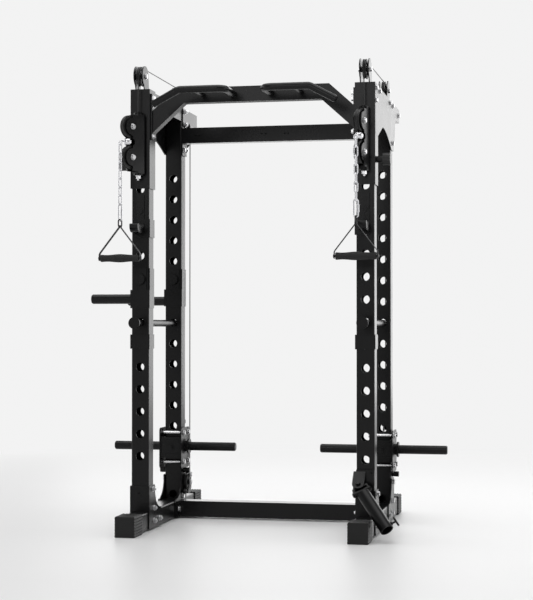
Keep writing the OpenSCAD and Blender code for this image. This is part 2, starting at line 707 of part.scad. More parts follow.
// Side plate as [y, z]: notched between the rollers, with rounded ears
module carriage_side() {
    difference() {
        translate([(carriage_front + carriage_back) / 2, carriage_low + carriage_h / 2])
            round_rect(carriage_back - carriage_front, carriage_h, 18, 5);
        for (d = [-1, 1]) translate([roller_y, roller_z + d * roller_pitch / 2]) circle(d = axle_d - 2);
    }
}
module peg(s) {
    // loading peg with a chamfered end, from the side plate outwards
    on_side(s) {
        cylinder(d = peg_d, h = peg_reach - plate_in - plate_t - 4);
        translate([0, 0, peg_reach - plate_in - plate_t - 4]) cylinder(d = peg_d - 6, h = 4);
    }
}
module carriage(s) {
    inner = plate_in;
    color(steel) translate([s * half_w, 0, 0]) {
        for (m = [-1, 1]) translate([m > 0 ? inner : -inner - plate_t, 0, 0]) yz_plate(plate_t) carriage_side();
        // front body between the rollers, with its ridges and the centre bolt
        translate([-inner, carriage_front + 8, roller_z - 50]) cube([2 * inner, rear_front_face - 4 - carriage_front - 8, 100]);
        for (z = [-38, 30]) translate([-inner, carriage_front + 4, roller_z + z]) cube([2 * inner, 5, 8]);
        translate([0, carriage_front + 9, roller_z]) toward_front() {
            cylinder(r = 17, h = 5);
            cylinder(r = bolt_head_r, h = 12, $fn = 6);
        }
        // rear plate with its liner
        translate([-inner, guide_y, roller_z - 60]) cube([2 * inner, 8, 120]);
        // fork of the lift pulley behind the rear plate, and the cable that passes under the wheel
        for (x = [-lift_half - 4, lift_half]) translate([x, 0, 0]) yz_plate(4) {
            polygon([[guide_y + 7, roller_z + 8], [guide_y + 7, roller_z + 56], [lift_y - 17, lift_z], [lift_y + 17, lift_z],
                [lift_y + 15, lift_z - 22], [guide_y + 26, roller_z + 8]]);
            translate([lift_y, lift_z]) circle(r = 17);
        }
        translate([-lift_half - 1, guide_y + 7, roller_z + 8]) cube([2 * lift_half + 2, 9, 48]);
        translate([0, lift_y, lift_z]) {
            translate([-lift_half - 4, 0, 0]) along_x() cylinder(d = axle_d, h = 2 * lift_half + 8);
            for (m = [-1, 1]) translate([m * (lift_half + 4), 0, 0]) on_side(m) bolt_head(6);
            rotate([90, 0, 90]) wrap(lift_r, 180, 360);
        }
        // roller axles with their heads outside the plates
        for (d = [-1, 1]) translate([0, roller_y, roller_z + d * roller_pitch / 2]) {
            translate([-inner - plate_t, 0, 0]) along_x() cylinder(d = axle_d - 2, h = 2 * (inner + plate_t));
            for (m = [-1, 1]) translate([m * (inner + plate_t), 0, 0]) on_side(m) bolt_head(6);
        }
        // rear bolts of the liner
        for (m = [-1, 1], d = [-1, 1]) translate([m * (inner + plate_t), rear_y + 34, roller_z + d * roller_pitch / 2])
            on_side(m) bolt_head(6);
        // pegs on both sides, and the collar flange on the right-hand one
        for (m = [-1, 1]) translate([m * (inner + plate_t), rear_y, peg_z]) peg(m);
        translate([flange_x, rear_y, peg_z]) along_x() cylinder(r = 36, h = 8);
        translate([inner + plate_t, rear_y, peg_z]) along_x() cylinder(r = peg_d / 2 + 5, h = flange_x - inner - plate_t);
    }
}
module roller(s, d) {
    color(chrome) translate([s * half_w, roller_y, roller_z + d * roller_pitch / 2]) rotate([0, 90, 0]) difference() {
        union() {
            translate([0, 0, -32]) cylinder(d = roller_d, h = 64);
            translate([0, 0, -plate_in + gap]) cylinder(d = roller_d - 4, h = 2 * (plate_in - gap));
        }
        translate([0, 0, -plate_in]) cylinder(d = axle_d - 2 + 2 * run, h = 2 * plate_in);
    }
}

// ---------------------------------------------------------------- cables

module cable_x(a, b) {
    // a straight cable between two points
    v = b - a;
    len = norm(v);
    translate(a) rotate([0, acos(v[2] / len), atan2(v[1], v[0])]) cylinder(d = cable_d, h = len, $fn = 16);
}
cable_top = top_axle_z + wheel_r + off;
module wrap(r, a0, a1) {
    // an arc of cable lying in a wheel's groove, wheel axis along Z
    rotate([0, 0, a0]) rotate_extrude(angle = a1 - a0, $fn = 48) translate([r + off, 0]) circle(d = cable_d, $fn = 16);
}
module fixed_cable() {
    // up the swivel's pivot axis, over the front pulley, back along the top and over the rear pulley
    cable_x([0, pivot_y, lug_top_z + lug_t + 6], [0, pivot_y, top_axle_z]);
    translate([0, front_axle_y, top_axle_z]) rotate([90, 0, 90]) wrap(wheel_r, 90, 180);
    cable_x([0, front_axle_y, cable_top], [0, rear_axle_y, cable_top]);
    translate([0, rear_axle_y, top_axle_z]) rotate([90, 0, 90]) wrap(wheel_r, 0, 90);
    cable_x([0, lift_line, top_axle_z], [0, lift_line, cable_mid_z]);
    // up again behind the lift pulley, over the return pulley and down to the low pulley
    cable_x([0, rise_y, cable_mid_z], [0, rise_y, return_z]);
    return_frame() translate([0, 0, return_z]) rotate([90, 0, 90]) wrap(return_r, 0, 180);
    cable_x([low_x, fall_y, return_z], [low_x, fall_y, low_z]);
    translate([low_x, low_y, low_z]) rotate([90, 0, 90]) wrap(low_r, 270, 360);
    cable_x([low_x, stop_y - 6, low_z - low_r - off], [low_x, low_y, low_z - low_r - off]);
    translate([low_x, stop_y - gap - 12, low_z - low_r - off]) sphere(r = 12, $fn = 32);
}
module fixed_cables() { color(steel) both_sides() fixed_cable(); }
// The two runs that shorten as a carriage rises
module lift_cable() {
    cable_x([0, lift_line, lift_z], [0, lift_line, cable_mid_z]);
    cable_x([0, rise_y, lift_z], [0, rise_y, cable_mid_z]);
}

// ---------------------------------------------------------------- fasteners of the frame

foot_bolts = [[32, 40 - foot_low], [122, 41 - foot_low], [32, 97], [14, foot_h - 18]];
module foot_bolt_set(inner_only) {
    for (b = foot_bolts) {
        z = b[1] < 60 ? b[1] + foot_low : b[1];
        translate([-half_tube - plate, b[0], z]) on_side(-1) bolt_nut();
        if (!inner_only) translate([half_tube + plate, b[0], z]) on_side(1) bolt_head();
    }
}
module low_axle() {
    translate([-low_half - fork_t, 0, 0]) along_x() cylinder(d = axle_d, h = 2 * (low_half + fork_t));
    translate([-low_half - fork_t, 0, 0]) on_side(-1) bolt_head(6);
}
module frame_bolt_set() {
    translate([0, front_y, 0]) foot_bolt_set(false);
    // rear feet: the lowest inner pair sits under the crossmember's flange
    translate([0, rear_y, 0]) mirror([0, 1, 0]) {
        for (m = [-1, 1]) translate([m * (half_tube + plate), 32, 97]) on_side(m) bolt_head();
        for (b = [[32, 40], [122, 41], [14, foot_h - 18]]) translate([half_tube + plate, b[0], b[1]]) on_side(1) bolt_head();
    }
    // crossmember flanges
    for (dy = [-52, 52]) translate([-half_tube - plate - flange_t, cross_y + dy, foot_low + cross_side / 2]) on_side(-1) bolt_head();
    translate([-half_tube - upper_flange, upper_y + 26, upper_z - 30]) on_side(-1) bolt_nut();
    translate([-half_tube - upper_flange, upper_y - 4, upper_z - 30]) on_side(-1) bolt_head();
    // top side beams
    for (z = [front_h - 14, rear_h - 12]) translate([-half_tube - plate, rear_y + 5, z]) on_side(-1) bolt_nut();
    // pull-up bar flanges
    for (z = [front_h - 36, front_h - 63, front_h - 206]) translate([-half_tube - plate - flange_t, front_y - 22, z])
        on_side(-1) bolt_head();
    // side plates
    for (p = [[front_y + 3, front_h - 14], [front_y + 107, front_h - 14], [front_y - 14, front_h - 71], [rear_y, side_foot_z + 30],
        [rear_y - 91, front_h - 14], [rear_y + 10, front_h - 14], [beam_back - 30, front_h - 32]])
        translate([half_tube + plate, p[0], p[1]]) on_side(1) bolt_head(6);
    // pulley axles and the lower pivot bolt of the swivel
    for (y = [front_axle_y, rear_axle_y]) translate([0, y, top_axle_z]) {
        translate([-cheek_in - cheek_t, 0, 0]) along_x() cylinder(d = axle_d, h = 2 * (cheek_in + cheek_t));
        for (m = [-1, 1]) translate([m * (cheek_in + cheek_t), 0, 0]) on_side(m) bolt_head(6);
    }
    translate([low_x, low_y, low_z]) low_axle();
    return_frame() translate([0, 0, return_z]) {
        low_axle();
        translate([low_half + fork_t, 0, 0]) on_side(1) bolt_head(6);
    }
    translate([low_x - low_half - fork_t, low_y, low_z + low_r]) on_side(-1) bolt_head(6);
    translate([0, pivot_y, lug_low_z]) {
        cylinder(d = pivot_d, h = lug_t + 15);
        mirror([0, 0, 1]) bolt_head(12);
        translate([0, 0, -22]) cylinder(d = 9, h = 8);
    }
}
module frame_bolts() { color(chrome) both_sides() frame_bolt_set(); }

// ---------------------------------------------------------------- storage pegs, collars and stops

// J-cups, storage pegs, safeties and collars keep their distances in holes. They all go down
// together where the towers would come down on the J-cups.
cup_up = 72;
cup_over = hole_low + (pipe_hole + 5) * hole_pitch + cup_up + gap - tower_low;
pipe_at = pipe_hole - max(0, ceil(cup_over / hole_pitch));
store_z = hole_low + (pipe_at + 1) * hole_pitch + 6;
module storage_peg(sleeve_z0, sleeve_z1, top_z) {
    out = half_tube + plate;
    translate([-out, -out, sleeve_z0]) cube([2 * out, plate, sleeve_z1 - sleeve_z0]);
    translate([half_tube, -half_tube, sleeve_z0]) cube([plate, tube - 10, sleeve_z1 - sleeve_z0]);
    translate([-out, -half_tube, sleeve_z0]) cube([plate, tube - 10, top_z - sleeve_z0]);
    translate([-30, -out, sleeve_z1 - 1]) cube([60, plate, top_z - sleeve_z1 + 1]);
    translate([0, -out, top_z - 50]) toward_front() {
        cylinder(r = 14, h = 6);
        translate([0, 0, 6]) cylinder(r = 25, h = 12);
    }
}
module storage_pegs() {
    color(steel) for (e = [[front_y, 0], [rear_y, 16]]) mirror([1, 0, 0]) translate([half_w, e[0], 0]) {
        storage_peg(store_z - 42 + e[1], store_z + 40 + e[1], store_z + 138 + e[1]);
        translate([half_tube + plate, 0, store_z]) along_x() {
            cylinder(d = peg_d + 2, h = 189);
            translate([0, 0, 189]) cylinder(d = peg_d - 4, h = 4);
        }
    }
}
collar_z = hole_low + (pipe_at - 1) * hole_pitch + 14;
module collars_and_stops() {
    out = half_tube + plate;
    color(steel) both_sides() {
        translate([0, front_y, collar_z - 32]) {
            translate([-out, -out, 0]) cube([2 * out, plate, 64]);
            for (x = [-out, half_tube]) translate([x, -half_tube, 0]) cube([plate, tube - 8, 64]);
        }
        translate([-73, rear_y, stop_z]) along_x() cylinder(d = stop_d, h = 146);
    }
}

// ---------------------------------------------------------------- J-cups

cup_z = hole_low + (pipe_at + 5) * hole_pitch;
cup_low = cup_z - 118;
cup_top = cup_z + cup_up;
// The cradle as [y, z] from the upright's front face: saddle, upturned lip and liner
saddle_r = 20;
module cup_profile() {
    lip = -cup_reach;
    polygon(concat([[-plate, cup_low + 14], [-plate, cup_low + 60]],
        [for (i = [0:6]) [-30 + saddle_r * cos(110 * i / 6), cup_low + 60 - saddle_r * sin(110 * i / 6)]],
        [[lip + 22, cup_low + 56]],
        [for (i = [0:6]) [lip + 9 - 9 * sin(30 * i / 2), cup_low + 48 + 9 * cos(30 * i / 2)]],
        [for (i = [0:5]) [lip + 30 - 30 * cos(18 * i), cup_low + 46 - 28 * sin(18 * i)]]));
}
module j_cup(s) {
    // on the inner side a wrap flange, through the face a round pin
    color(steel) translate([s * half_w, front_face, 0]) {
        difference() {
            union() {
                translate([-cup_w / 2, -plate - gap, cup_low]) cube([cup_w, plate, cup_top - cup_low]);
                translate([-cup_w / 2, -gap, 0]) rotate([90, 0, 90]) linear_extrude(cup_w) cup_profile();
            }
            // hollow under the arm, between its two side webs
            translate([-cup_w / 2 + 5, 0, 0]) yz_plate(cup_w - 10)
                polygon([[-plate - gap - 8, cup_low + 8], [-plate - gap - 8, cup_low + 32], [-cup_reach + 26, cup_low + 32],
                    [-cup_reach + 26, cup_low + 8]]);
        }
        translate([0, -plate - gap, cup_z]) {
            along_y() cylinder(d = hole_d - 2, h = 40);
            toward_front() cylinder(r = 14, h = 6);
        }
        // wrap round the inner side of the upright
        m = -s;
        translate([m > 0 ? cup_w / 2 - 1 : -half_tube - 6 - gap, -plate - gap, cup_low]) cube([half_tube + 7 + gap - cup_w / 2, plate, 82]);
        translate([m > 0 ? half_tube + gap : -half_tube - 6 - gap, -1 - gap, cup_low]) cube([6, tube - 8, 82]);
    }
}

// ---------------------------------------------------------------- pin-pipe safeties

pipe_z = hole_low + pipe_at * hole_pitch - (hole_d - pipe_d) / 2 + gap;
pipe_front = front_face - 98;
module safety_pipe(s) {
    color(steel) translate([s * half_w, pipe_front, pipe_z]) along_y() {
        translate([0, 0, 8]) cylinder(d = pipe_d, h = rear_y + 20 - pipe_front - 8);
        cylinder(r = 26, h = 8);
        translate([0, 0, 8]) cylinder(r = pipe_d / 2 + 3, h = 6);
    }
}

// ---------------------------------------------------------------- spring pins

module pull_pin(s) {
    color(rubber) translate([s * (half_w + half_tube + plate), front_y, pin_z]) on_side(s) {
        translate([0, 0, -plate - 20]) cylinder(d = pin_d, h = knob_neck + plate + 22);
        translate([0, 0, knob_neck + gap]) difference() {
            cylinder(r = 27, h = 34);
            for (i = [0:11]) rotate([0, 0, 30 * i]) translate([29, 0, -1]) cylinder(r = 4, h = 29, $fn = 20);
        }
    }
}

// ---------------------------------------------------------------- landmine

lm_x = half_w - 25;
lm_y = front_face - 44;
lm_z = foot_h + 22;
lm_tilt = 45;
lm_yaw = 34;
lm_pitch = 8;
ear_in = 16;
ear_t = 5;
arm = 34;
sleeve_start = 10;
sleeve_len = 210;
barrel_r = 15;
module lm_tilted() { translate([lm_x, lm_y, lm_z]) rotate([lm_tilt, 0, 0]) children(); }
module lm_turned() { lm_tilted() rotate([0, 0, lm_yaw]) children(); }
module lm_pitched() { lm_turned() translate([0, -arm, 0]) rotate([lm_pitch, 0, 0]) children(); }
module landmine_bracket() {
    back = front_face - plate;
    color(steel) {
        difference() {
            translate([half_w - half_tube, back - 6, foot_h - 66]) cube([tube, 6, 158]);
            for (x = [-28, 28], z = [-52, 78]) translate([half_w + x, back - 7, foot_h + z]) along_y() cylinder(d = 9, h = 8, $fn = 24);
        }
        // two tilted ears, cut off where they meet the back plate
        difference() {
            lm_tilted() for (z = [ear_in, -ear_in - ear_t]) translate([0, 0, z]) {
                cylinder(r = 26, h = ear_t);
                translate([-26, 0, 0]) cube([52, 110, ear_t]);
            }
            translate([half_w - 2 * tube, back - 6, 0]) cube([4 * tube, 3 * tube, 3 * tube + foot_h]);
            lm_tilted() translate([0, 0, -ear_in - 2 * ear_t]) cylinder(d = 14, h = 2 * ear_in + 4 * ear_t);
        }
        lm_tilted() {
            translate([0, 0, -ear_in - ear_t]) cylinder(d = 14, h = 2 * (ear_in + ear_t));
            translate([0, 0, ear_in + ear_t]) bolt_head(7);
            translate([0, 0, -ear_in - ear_t]) mirror([0, 0, 1]) bolt_head(7);
        }
    }
}
module landmine_yoke() {
    in = sleeve_d / 2 + 1;
    color(steel) lm_turned() {
        difference() {
            union() {
                cylinder(r = barrel_r, h = 2 * (ear_in - gap), center = true);
                translate([-in - 6, -arm + 15, -13]) cube([2 * in + 12, 7, 26]);
                for (x = [-in - 6, in]) translate([x, -arm, -13]) cube([6, 22, 26]);
                for (x = [-in - 6, in]) translate([x, -arm, 0]) along_x() cylinder(r = 13, h = 6);
            }
            translate([0, 0, -2 * ear_in]) cylinder(d = 14 + 2 * run, h = 4 * ear_in);
        }
        translate([-in - 6, -arm, 0]) along_x() cylinder(d = axle_d, h = 2 * in + 12);
        for (m = [-1, 1]) translate([m * (in + 6), -arm, 0]) on_side(m) bolt_head(6);
    }
}
module landmine_sleeve() {
    in = sleeve_d / 2 + 1;
    color(steel) lm_pitched() {
        difference() {
            union() {
                translate([-in + gap, 0, 0]) along_x() cylinder(r = 13, h = 2 * in - 2 * gap);
                translate([0, -sleeve_start, 0]) toward_front() cylinder(d = sleeve_d, h = sleeve_len);
            }
            translate([0, -sleeve_start - 10, 0]) toward_front() cylinder(d = sleeve_bore, h = sleeve_len);
            translate([-2 * in, 0, 0]) along_x() cylinder(d = axle_d + 2 * run, h = 4 * in);
        }
        // T-screw near the mouth
        translate([sleeve_bore / 2 + 0.5, -sleeve_len + 10, 0]) along_x() {
            cylinder(r = 9, h = 8);
            cylinder(r = 4, h = 28);
            translate([0, 0, 28]) rotate([90, 0, 0]) cylinder(r = 4.5, h = 46, center = true);
        }
    }
}

// ---------------------------------------------------------------- nodes

color(steel) at_side(-1) base_tube();  // base_tube_left
color(steel) at_side(1) base_tube();  // base_tube_right
base_end_caps();
color(steel) at_side(-1) upright_front();  // upright_front_left
color(steel) at_side(1) upright_front();  // upright_front_right
color(steel) at_side(-1) upright_rear();  // upright_rear_left
color(steel) at_side(1) upright_rear();  // upright_rear_right
foot_brackets();
rear_lower_crossmember();
rear_upper_crossmember();
top_side_beams();
side_plates();
pull_up_bar();
grip_bars();
pulley_towers();
rear_pulley_brackets();
frame_bolts();
storage_pegs();
collars_and_stops();
landmine_bracket();
fixed_cables();
color(steel) at_side(-1) lift_cable();  // lift_cable_left
color(steel) at_side(1) lift_cable();  // lift_cable_right
carriage(-1);  // carriage_left
carriage(1);  // carriage_right
roller(-1, 1);  // roller_left_upper
roller(-1, -1);  // roller_left_lower
roller(1, 1);  // roller_right_upper
roller(1, -1);  // roller_right_lower
at_side(-1) lift_pulley();  // lift_pulley_left
at_side(1) lift_pulley();  // lift_pulley_right
at_side(-1) rear_top_pulley();  // rear_top_pulley_left
at_side(1) rear_top_pulley();  // rear_top_pulley_right
at_side(-1) front_top_pulley();  // front_top_pulley_left
at_side(1) front_top_pulley();  // front_top_pulley_right
at_side(-1) return_pulley();  // return_pulley_left
at_side(1) return_pulley();  // return_pulley_right
at_side(-1) low_pulley();  // low_pulley_left
at_side(1) low_pulley();  // low_pulley_right
swivel_block(-1);  // swivel_block_left
swivel_block(1);  // swivel_block_right
swivel_pulley(-1, 1);  // swivel_pulley_left_upper
swivel_pulley(-1, -1);  // swivel_pulley_left_lower
swivel_pulley(1, 1);  // swivel_pulley_right_upper
swivel_pulley(1, -1);  // swivel_pulley_right_lower
pull_chain(-1);  // pull_chain_left
pull_chain(1);  // pull_chain_right
handle_strap(-1);  // handle_strap_left
handle_strap(1);  // handle_strap_right
handle_grip(-1);  // handle_grip_left
handle_grip(1);  // handle_grip_right
j_cup(-1);  // j_cup_left
j_cup(1);  // j_cup_right
safety_pipe(-1);  // safety_pipe_left
safety_pipe(1);  // safety_pipe_right
pull_pin(-1);  // pull_pin_left
pull_pin(1);  // pull_pin_right
landmine_yoke();
landmine_sleeve();
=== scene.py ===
"""Power cage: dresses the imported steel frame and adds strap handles, cable runs, bolt heads and a studio.

Lengths are metres in the frame of the pack: +Z up, the front towards -Y, the feet on z = 0.
"""

from __future__ import annotations

import json
import logging
import math
from dataclasses import dataclass, field
from enum import Enum
from typing import Sequence, Union

import bpy
import numpy as np
from numpy.typing import NDArray
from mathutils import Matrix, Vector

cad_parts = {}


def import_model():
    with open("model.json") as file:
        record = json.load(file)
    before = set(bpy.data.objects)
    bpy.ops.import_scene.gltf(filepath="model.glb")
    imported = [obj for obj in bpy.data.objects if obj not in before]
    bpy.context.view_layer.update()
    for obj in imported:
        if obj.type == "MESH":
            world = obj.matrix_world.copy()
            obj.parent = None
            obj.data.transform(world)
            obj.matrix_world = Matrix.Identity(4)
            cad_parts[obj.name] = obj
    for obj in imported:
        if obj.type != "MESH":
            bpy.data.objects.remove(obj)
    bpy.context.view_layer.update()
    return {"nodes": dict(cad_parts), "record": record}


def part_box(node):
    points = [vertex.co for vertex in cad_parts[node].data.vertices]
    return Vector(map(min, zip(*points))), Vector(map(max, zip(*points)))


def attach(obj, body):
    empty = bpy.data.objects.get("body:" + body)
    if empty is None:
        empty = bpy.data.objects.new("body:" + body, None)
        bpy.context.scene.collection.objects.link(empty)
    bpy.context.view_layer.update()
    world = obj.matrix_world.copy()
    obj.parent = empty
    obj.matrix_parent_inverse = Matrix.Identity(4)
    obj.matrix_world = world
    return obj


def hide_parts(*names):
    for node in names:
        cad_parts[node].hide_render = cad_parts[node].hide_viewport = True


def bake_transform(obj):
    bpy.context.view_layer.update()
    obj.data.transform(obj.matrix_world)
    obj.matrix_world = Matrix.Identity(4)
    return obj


Array = NDArray[np.float64]
Number = Union[int, float]
Vec = tuple[float, float, float]

LOG = logging.getLogger("power_cage")
MM = 0.001
FULL_TURN = 2.0 * math.pi
UP = np.array([0.0, 0.0, 1.0])
NOISE_ROUGHNESS = 0.55


class Side(Enum):
    """Which upright a piece belongs to; the value is the sign of X."""

    LEFT = -1
    RIGHT = 1

    @property
    def tag(self) -> str:
        """The side's name as the nodes spell it."""
        return self.name.lower()


# Degrees by which each swivel block is turned about its upright pivot at rest
SWIVEL_TURN = {Side.LEFT: -30.0, Side.RIGHT: -10.5}


# ------------------------------------------------------------------ shader expressions


class Signal:
    """A shader socket that takes part in Python arithmetic; each operator adds one Math node."""

    def __init__(self, paint: "Paint", socket: bpy.types.NodeSocket) -> None:
        """Wraps a socket.

        Args:
            paint: The material whose tree holds the socket.
            socket: The output that carries the value.
        """
        self.paint = paint
        self.socket = socket

    def _math(self, operation: str, *values: Union["Signal", Number]) -> "Signal":
        """Adds a Math node.

        Args:
            operation: The node's operation.
            values: Its inputs, signals or plain numbers.

        Returns:
            The node's value.
        """
        inputs = dict(enumerate(values))
        return self.paint.node("ShaderNodeMath", {"operation": operation}, inputs)

    def __add__(self, other: Union["Signal", Number]) -> "Signal":
        """Sum."""
        return self._math("ADD", self, other)

    def __sub__(self, other: Union["Signal", Number]) -> "Signal":
        """Difference."""
        return self._math("SUBTRACT", self, other)

    def __rsub__(self, other: Number) -> "Signal":
        """A number less this signal."""
        return self._math("SUBTRACT", other, self)

    def __mul__(self, other: Union["Signal", Number]) -> "Signal":
        """Product."""
        return self._math("MULTIPLY", self, other)

    def __truediv__(self, other: Union["Signal", Number]) -> "Signal":
        """Quotient."""
        return self._math("DIVIDE", self, other)

    def __gt__(self, other: Union["Signal", Number]) -> "Signal":
        """One where this signal is the greater, otherwise nought."""
        return self._math("GREATER_THAN", self, other)

    __radd__ = __add__
    __rmul__ = __mul__

    def sine(self) -> "Signal":
        """Sine of the signal."""
        return self._math("SINE", self)

    def absolute(self) -> "Signal":
        """The signal without its sign."""
        return self._math("ABSOLUTE", self)

    def clamped(self) -> "Signal":
        """The signal kept between 0 and 1."""
        return self._math("MINIMUM", self._math("MAXIMUM", self, 0.0), 1.0)


Socket = Union[Signal, Number, Sequence[float]]


class Paint:
    """A material under construction: one Principled shader and the nodes that feed it."""

    def __init__(self, name: str) -> None:
        """Starts a node material.

        Args:
            name: The material's name.
        """
        self.material = bpy.data.materials.new(name)
        self.material.use_nodes = True
        self.tree = self.material.node_tree
        self.tree.nodes.clear()
        self.shader = self.tree.nodes.new("ShaderNodeBsdfPrincipled")
        out = self.tree.nodes.new("ShaderNodeOutputMaterial")
        self.output = out
        self.tree.links.new(self.shader.outputs[0], out.inputs[0])

    def node(
        self,
        kind: str,
        settings: dict[str, object] | None = None,
        inputs: dict[Union[int, str], Socket] | None = None,
        output: Union[int, str] = 0,
    ) -> Signal:
        """Adds one node.

        Args:
            kind: The node's type.
            settings: Attributes set before the sockets.
            inputs: Values or links for its sockets, by name or index.
            output: Which output to hand back.

        Returns:
            The chosen output as a signal.
        """
        made = self.tree.nodes.new(kind)
        for key, value in (settings or {}).items():
            setattr(made, key, value)
        for key, value in (inputs or {}).items():
            self.feed(made.inputs[key], value)
        return Signal(self, made.outputs[output])

    def feed(self, socket: bpy.types.NodeSocket, value: Socket) -> None:
        """Links a signal to a socket, or writes a plain value on it.

        Args:
            socket: The input to feed.
            value: A signal, a number or a colour; a colour of three parts gets an alpha of one.
        """
        if isinstance(value, Signal):
            self.tree.links.new(value.socket, socket)
        elif isinstance(value, (int, float)):
            socket.default_value = value
        else:
            socket.default_value = (*value, 1.0) if len(value) == 3 and socket.type == "RGBA" else value

    def set(self, **sockets: Socket) -> None:
        """Feeds the Principled shader's sockets.

        Args:
            sockets: A value for each socket's name, with an underscore in place of a space.
        """
        for key, value in sockets.items():
            self.feed(self.shader.inputs[key.replace("_", " ")], value)

    def seen(self) -> Signal:
        """Tells the rays that end in an eye, by way of a reflection or glass or not.

        Returns:
            One on such a ray, otherwise nought.
        """
        kinds = ("Camera", "Glossy", "Transmission")
        rays = [self.node("ShaderNodeLightPath", output=f"Is {kind} Ray") for kind in kinds]
        return (rays[0] + rays[1] + rays[2]).clamped()

    def cover(self, factor: Signal, other: Signal) -> None:
        """Mixes another shader over the Principled one.

        Args:
            factor: How much of the other one shows, from 0 to 1.
            other: The other shader.
        """
        base = Signal(self, self.shader.outputs[0])
        mix = self.node("ShaderNodeMixShader", {}, {0: factor, 1: base, 2: other})
        self.feed(self.output.inputs[0], mix)

    def place(self) -> Signal:
        """Object coordinates, which are metres in the cage's own frame."""
        return self.node("ShaderNodeTexCoord", output="Object")

    def stretched(self, scale: Vec) -> Signal:
        """Object coordinates with each axis scaled by itself."""
        return self.node("ShaderNodeMapping", {}, {"Vector": self.place(), "Scale": scale})

    def noise(self, scale: float, detail: float, at: Signal | None = None) -> Signal:
        """Noise between 0 and 1.

        Args:
            scale: Features per metre.
            detail: Octaves.
            at: Coordinates, Object coordinates where none are given.

        Returns:
            The noise's factor.
        """
        shape = {"Scale": scale, "Detail": detail, "Roughness": NOISE_ROUGHNESS}
        return self.node("ShaderNodeTexNoise", {}, {"Vector": at or self.place(), **shape})

    def split(self, vector: Signal) -> tuple[Signal, Signal]:
        """Takes a vector apart.

        Args:
            vector: The vector's signal.

        Returns:
            Its first two coordinates.
        """
        parts = self.node("ShaderNodeSeparateXYZ", {}, {0: vector}).socket.node.outputs
        return Signal(self, parts[0]), Signal(self, parts[1])

    def blend(self, factor: Signal, low: Socket, high: Socket) -> Signal:
        """A colour between two.

        Args:
            factor: 0 for the first colour, 1 for the second.
            low: The first colour.
            high: The second colour.

        Returns:
            The mixed colour, from the Mix node's colour sockets (6 and 7 in, 2 out).
        """
        inputs = {"Factor": factor, 6: low, 7: high}
        return self.node("ShaderNodeMix", {"data_type": "RGBA"}, inputs, 2)

    def bump(self, height: Signal, depth: float) -> Signal:
        """A normal from a height.

        Args:
            height: The height's signal, in units of depth.
            depth: How far in metres one unit of height stands out.

        Returns:
            The bumped normal.
        """
        return self.node("ShaderNodeBump", {}, {"Height": height, "Distance": depth, "Strength": 1.0})


# ------------------------------------------------------------------ finishes


@dataclass(frozen=True)
class PowderCoat:
    """Black powder coat: a fine orange peel, with a slow change of gloss along each tube."""

    name: str = "powder_coat"
    dark: Vec = (0.0032, 0.0032, 0.0034)
    light: Vec = (0.0062, 0.0062, 0.0066)
    gloss: float = 0.22
    gloss_change: float = 0.08
    grain_gloss: float = 0.05
    specular: float = 0.24
    patches: float = 7.0
    peel: float = 420.0
    grain: float = 1900.0
    depth: float = 0.06 * MM

    def build(self) -> bpy.types.Material:
        """Colour and roughness follow slow noise, the bump sums the peel and the grain.

        Returns:
            The finished material.
        """
        paint = Paint(self.name)
        slow = paint.noise(self.patches, 4.0)
        fine = paint.noise(self.peel, 2.0)
        grain = paint.noise(self.grain, 1.0)
        paint.set(
            Base_Color=paint.blend(slow * 0.6 + fine * 0.4, self.dark, self.light),
            Roughness=self.gloss + self.gloss_change * slow + self.grain_gloss * grain,
            Specular_IOR_Level=self.specular,
            Normal=paint.bump(fine * 0.7 + grain * 0.3, self.depth),
        )
        return paint.material


@dataclass(frozen=True)
class BrightMetal:
    """Plated or turned metal: faint tool marks across one axis and cloudy smudges."""

    name: str
    colour: Vec
    gloss: float
    smudge: float
    marks: Vec = (40.0, 40.0, 40.0)
    patches: float = 60.0
    dulled: float = 0.86
    depth: float = 0.02 * MM

    def build(self) -> bpy.types.Material:
        """Roughness follows the smudges, the bump follows the tool marks.

        Returns:
            The finished material.
        """
        paint = Paint(self.name)
        cloud = paint.noise(self.patches, 4.0)
        scratch = paint.noise(1.0, 2.0, paint.stretched(self.marks))
        darker = tuple(self.dulled * c for c in self.colour)
        paint.set(
            Base_Color=paint.blend(cloud, darker, self.colour),
            Metallic=1.0,
            Roughness=self.gloss + self.smudge * cloud + 0.5 * self.smudge * scratch,
            Normal=paint.bump(scratch, self.depth),
        )
        return paint.material


@dataclass(frozen=True)
class Moulding:
    """Moulded rubber or nylon: a matt skin with a pitted grain and paler rubbed patches."""

    name: str
    dark: Vec
    light: Vec
    gloss: float
    grain: float
    depth: float
    patches: float = 14.0
    grain_gloss: float = 0.12
    specular: float = 0.4

    def build(self) -> bpy.types.Material:
        """Colour follows slow noise, roughness and bump the fine grain.

        Returns:
            The finished material.
        """
        paint = Paint(self.name)
        slow = paint.noise(self.patches, 4.0)
        fine = paint.noise(self.grain, 3.0)
        paint.set(
            Base_Color=paint.blend(slow * 0.7 + fine * 0.3, self.dark, self.light),
            Roughness=self.gloss + self.grain_gloss * fine,
            Specular_IOR_Level=self.specular,
            Normal=paint.bump(fine, self.depth),
        )
        return paint.material


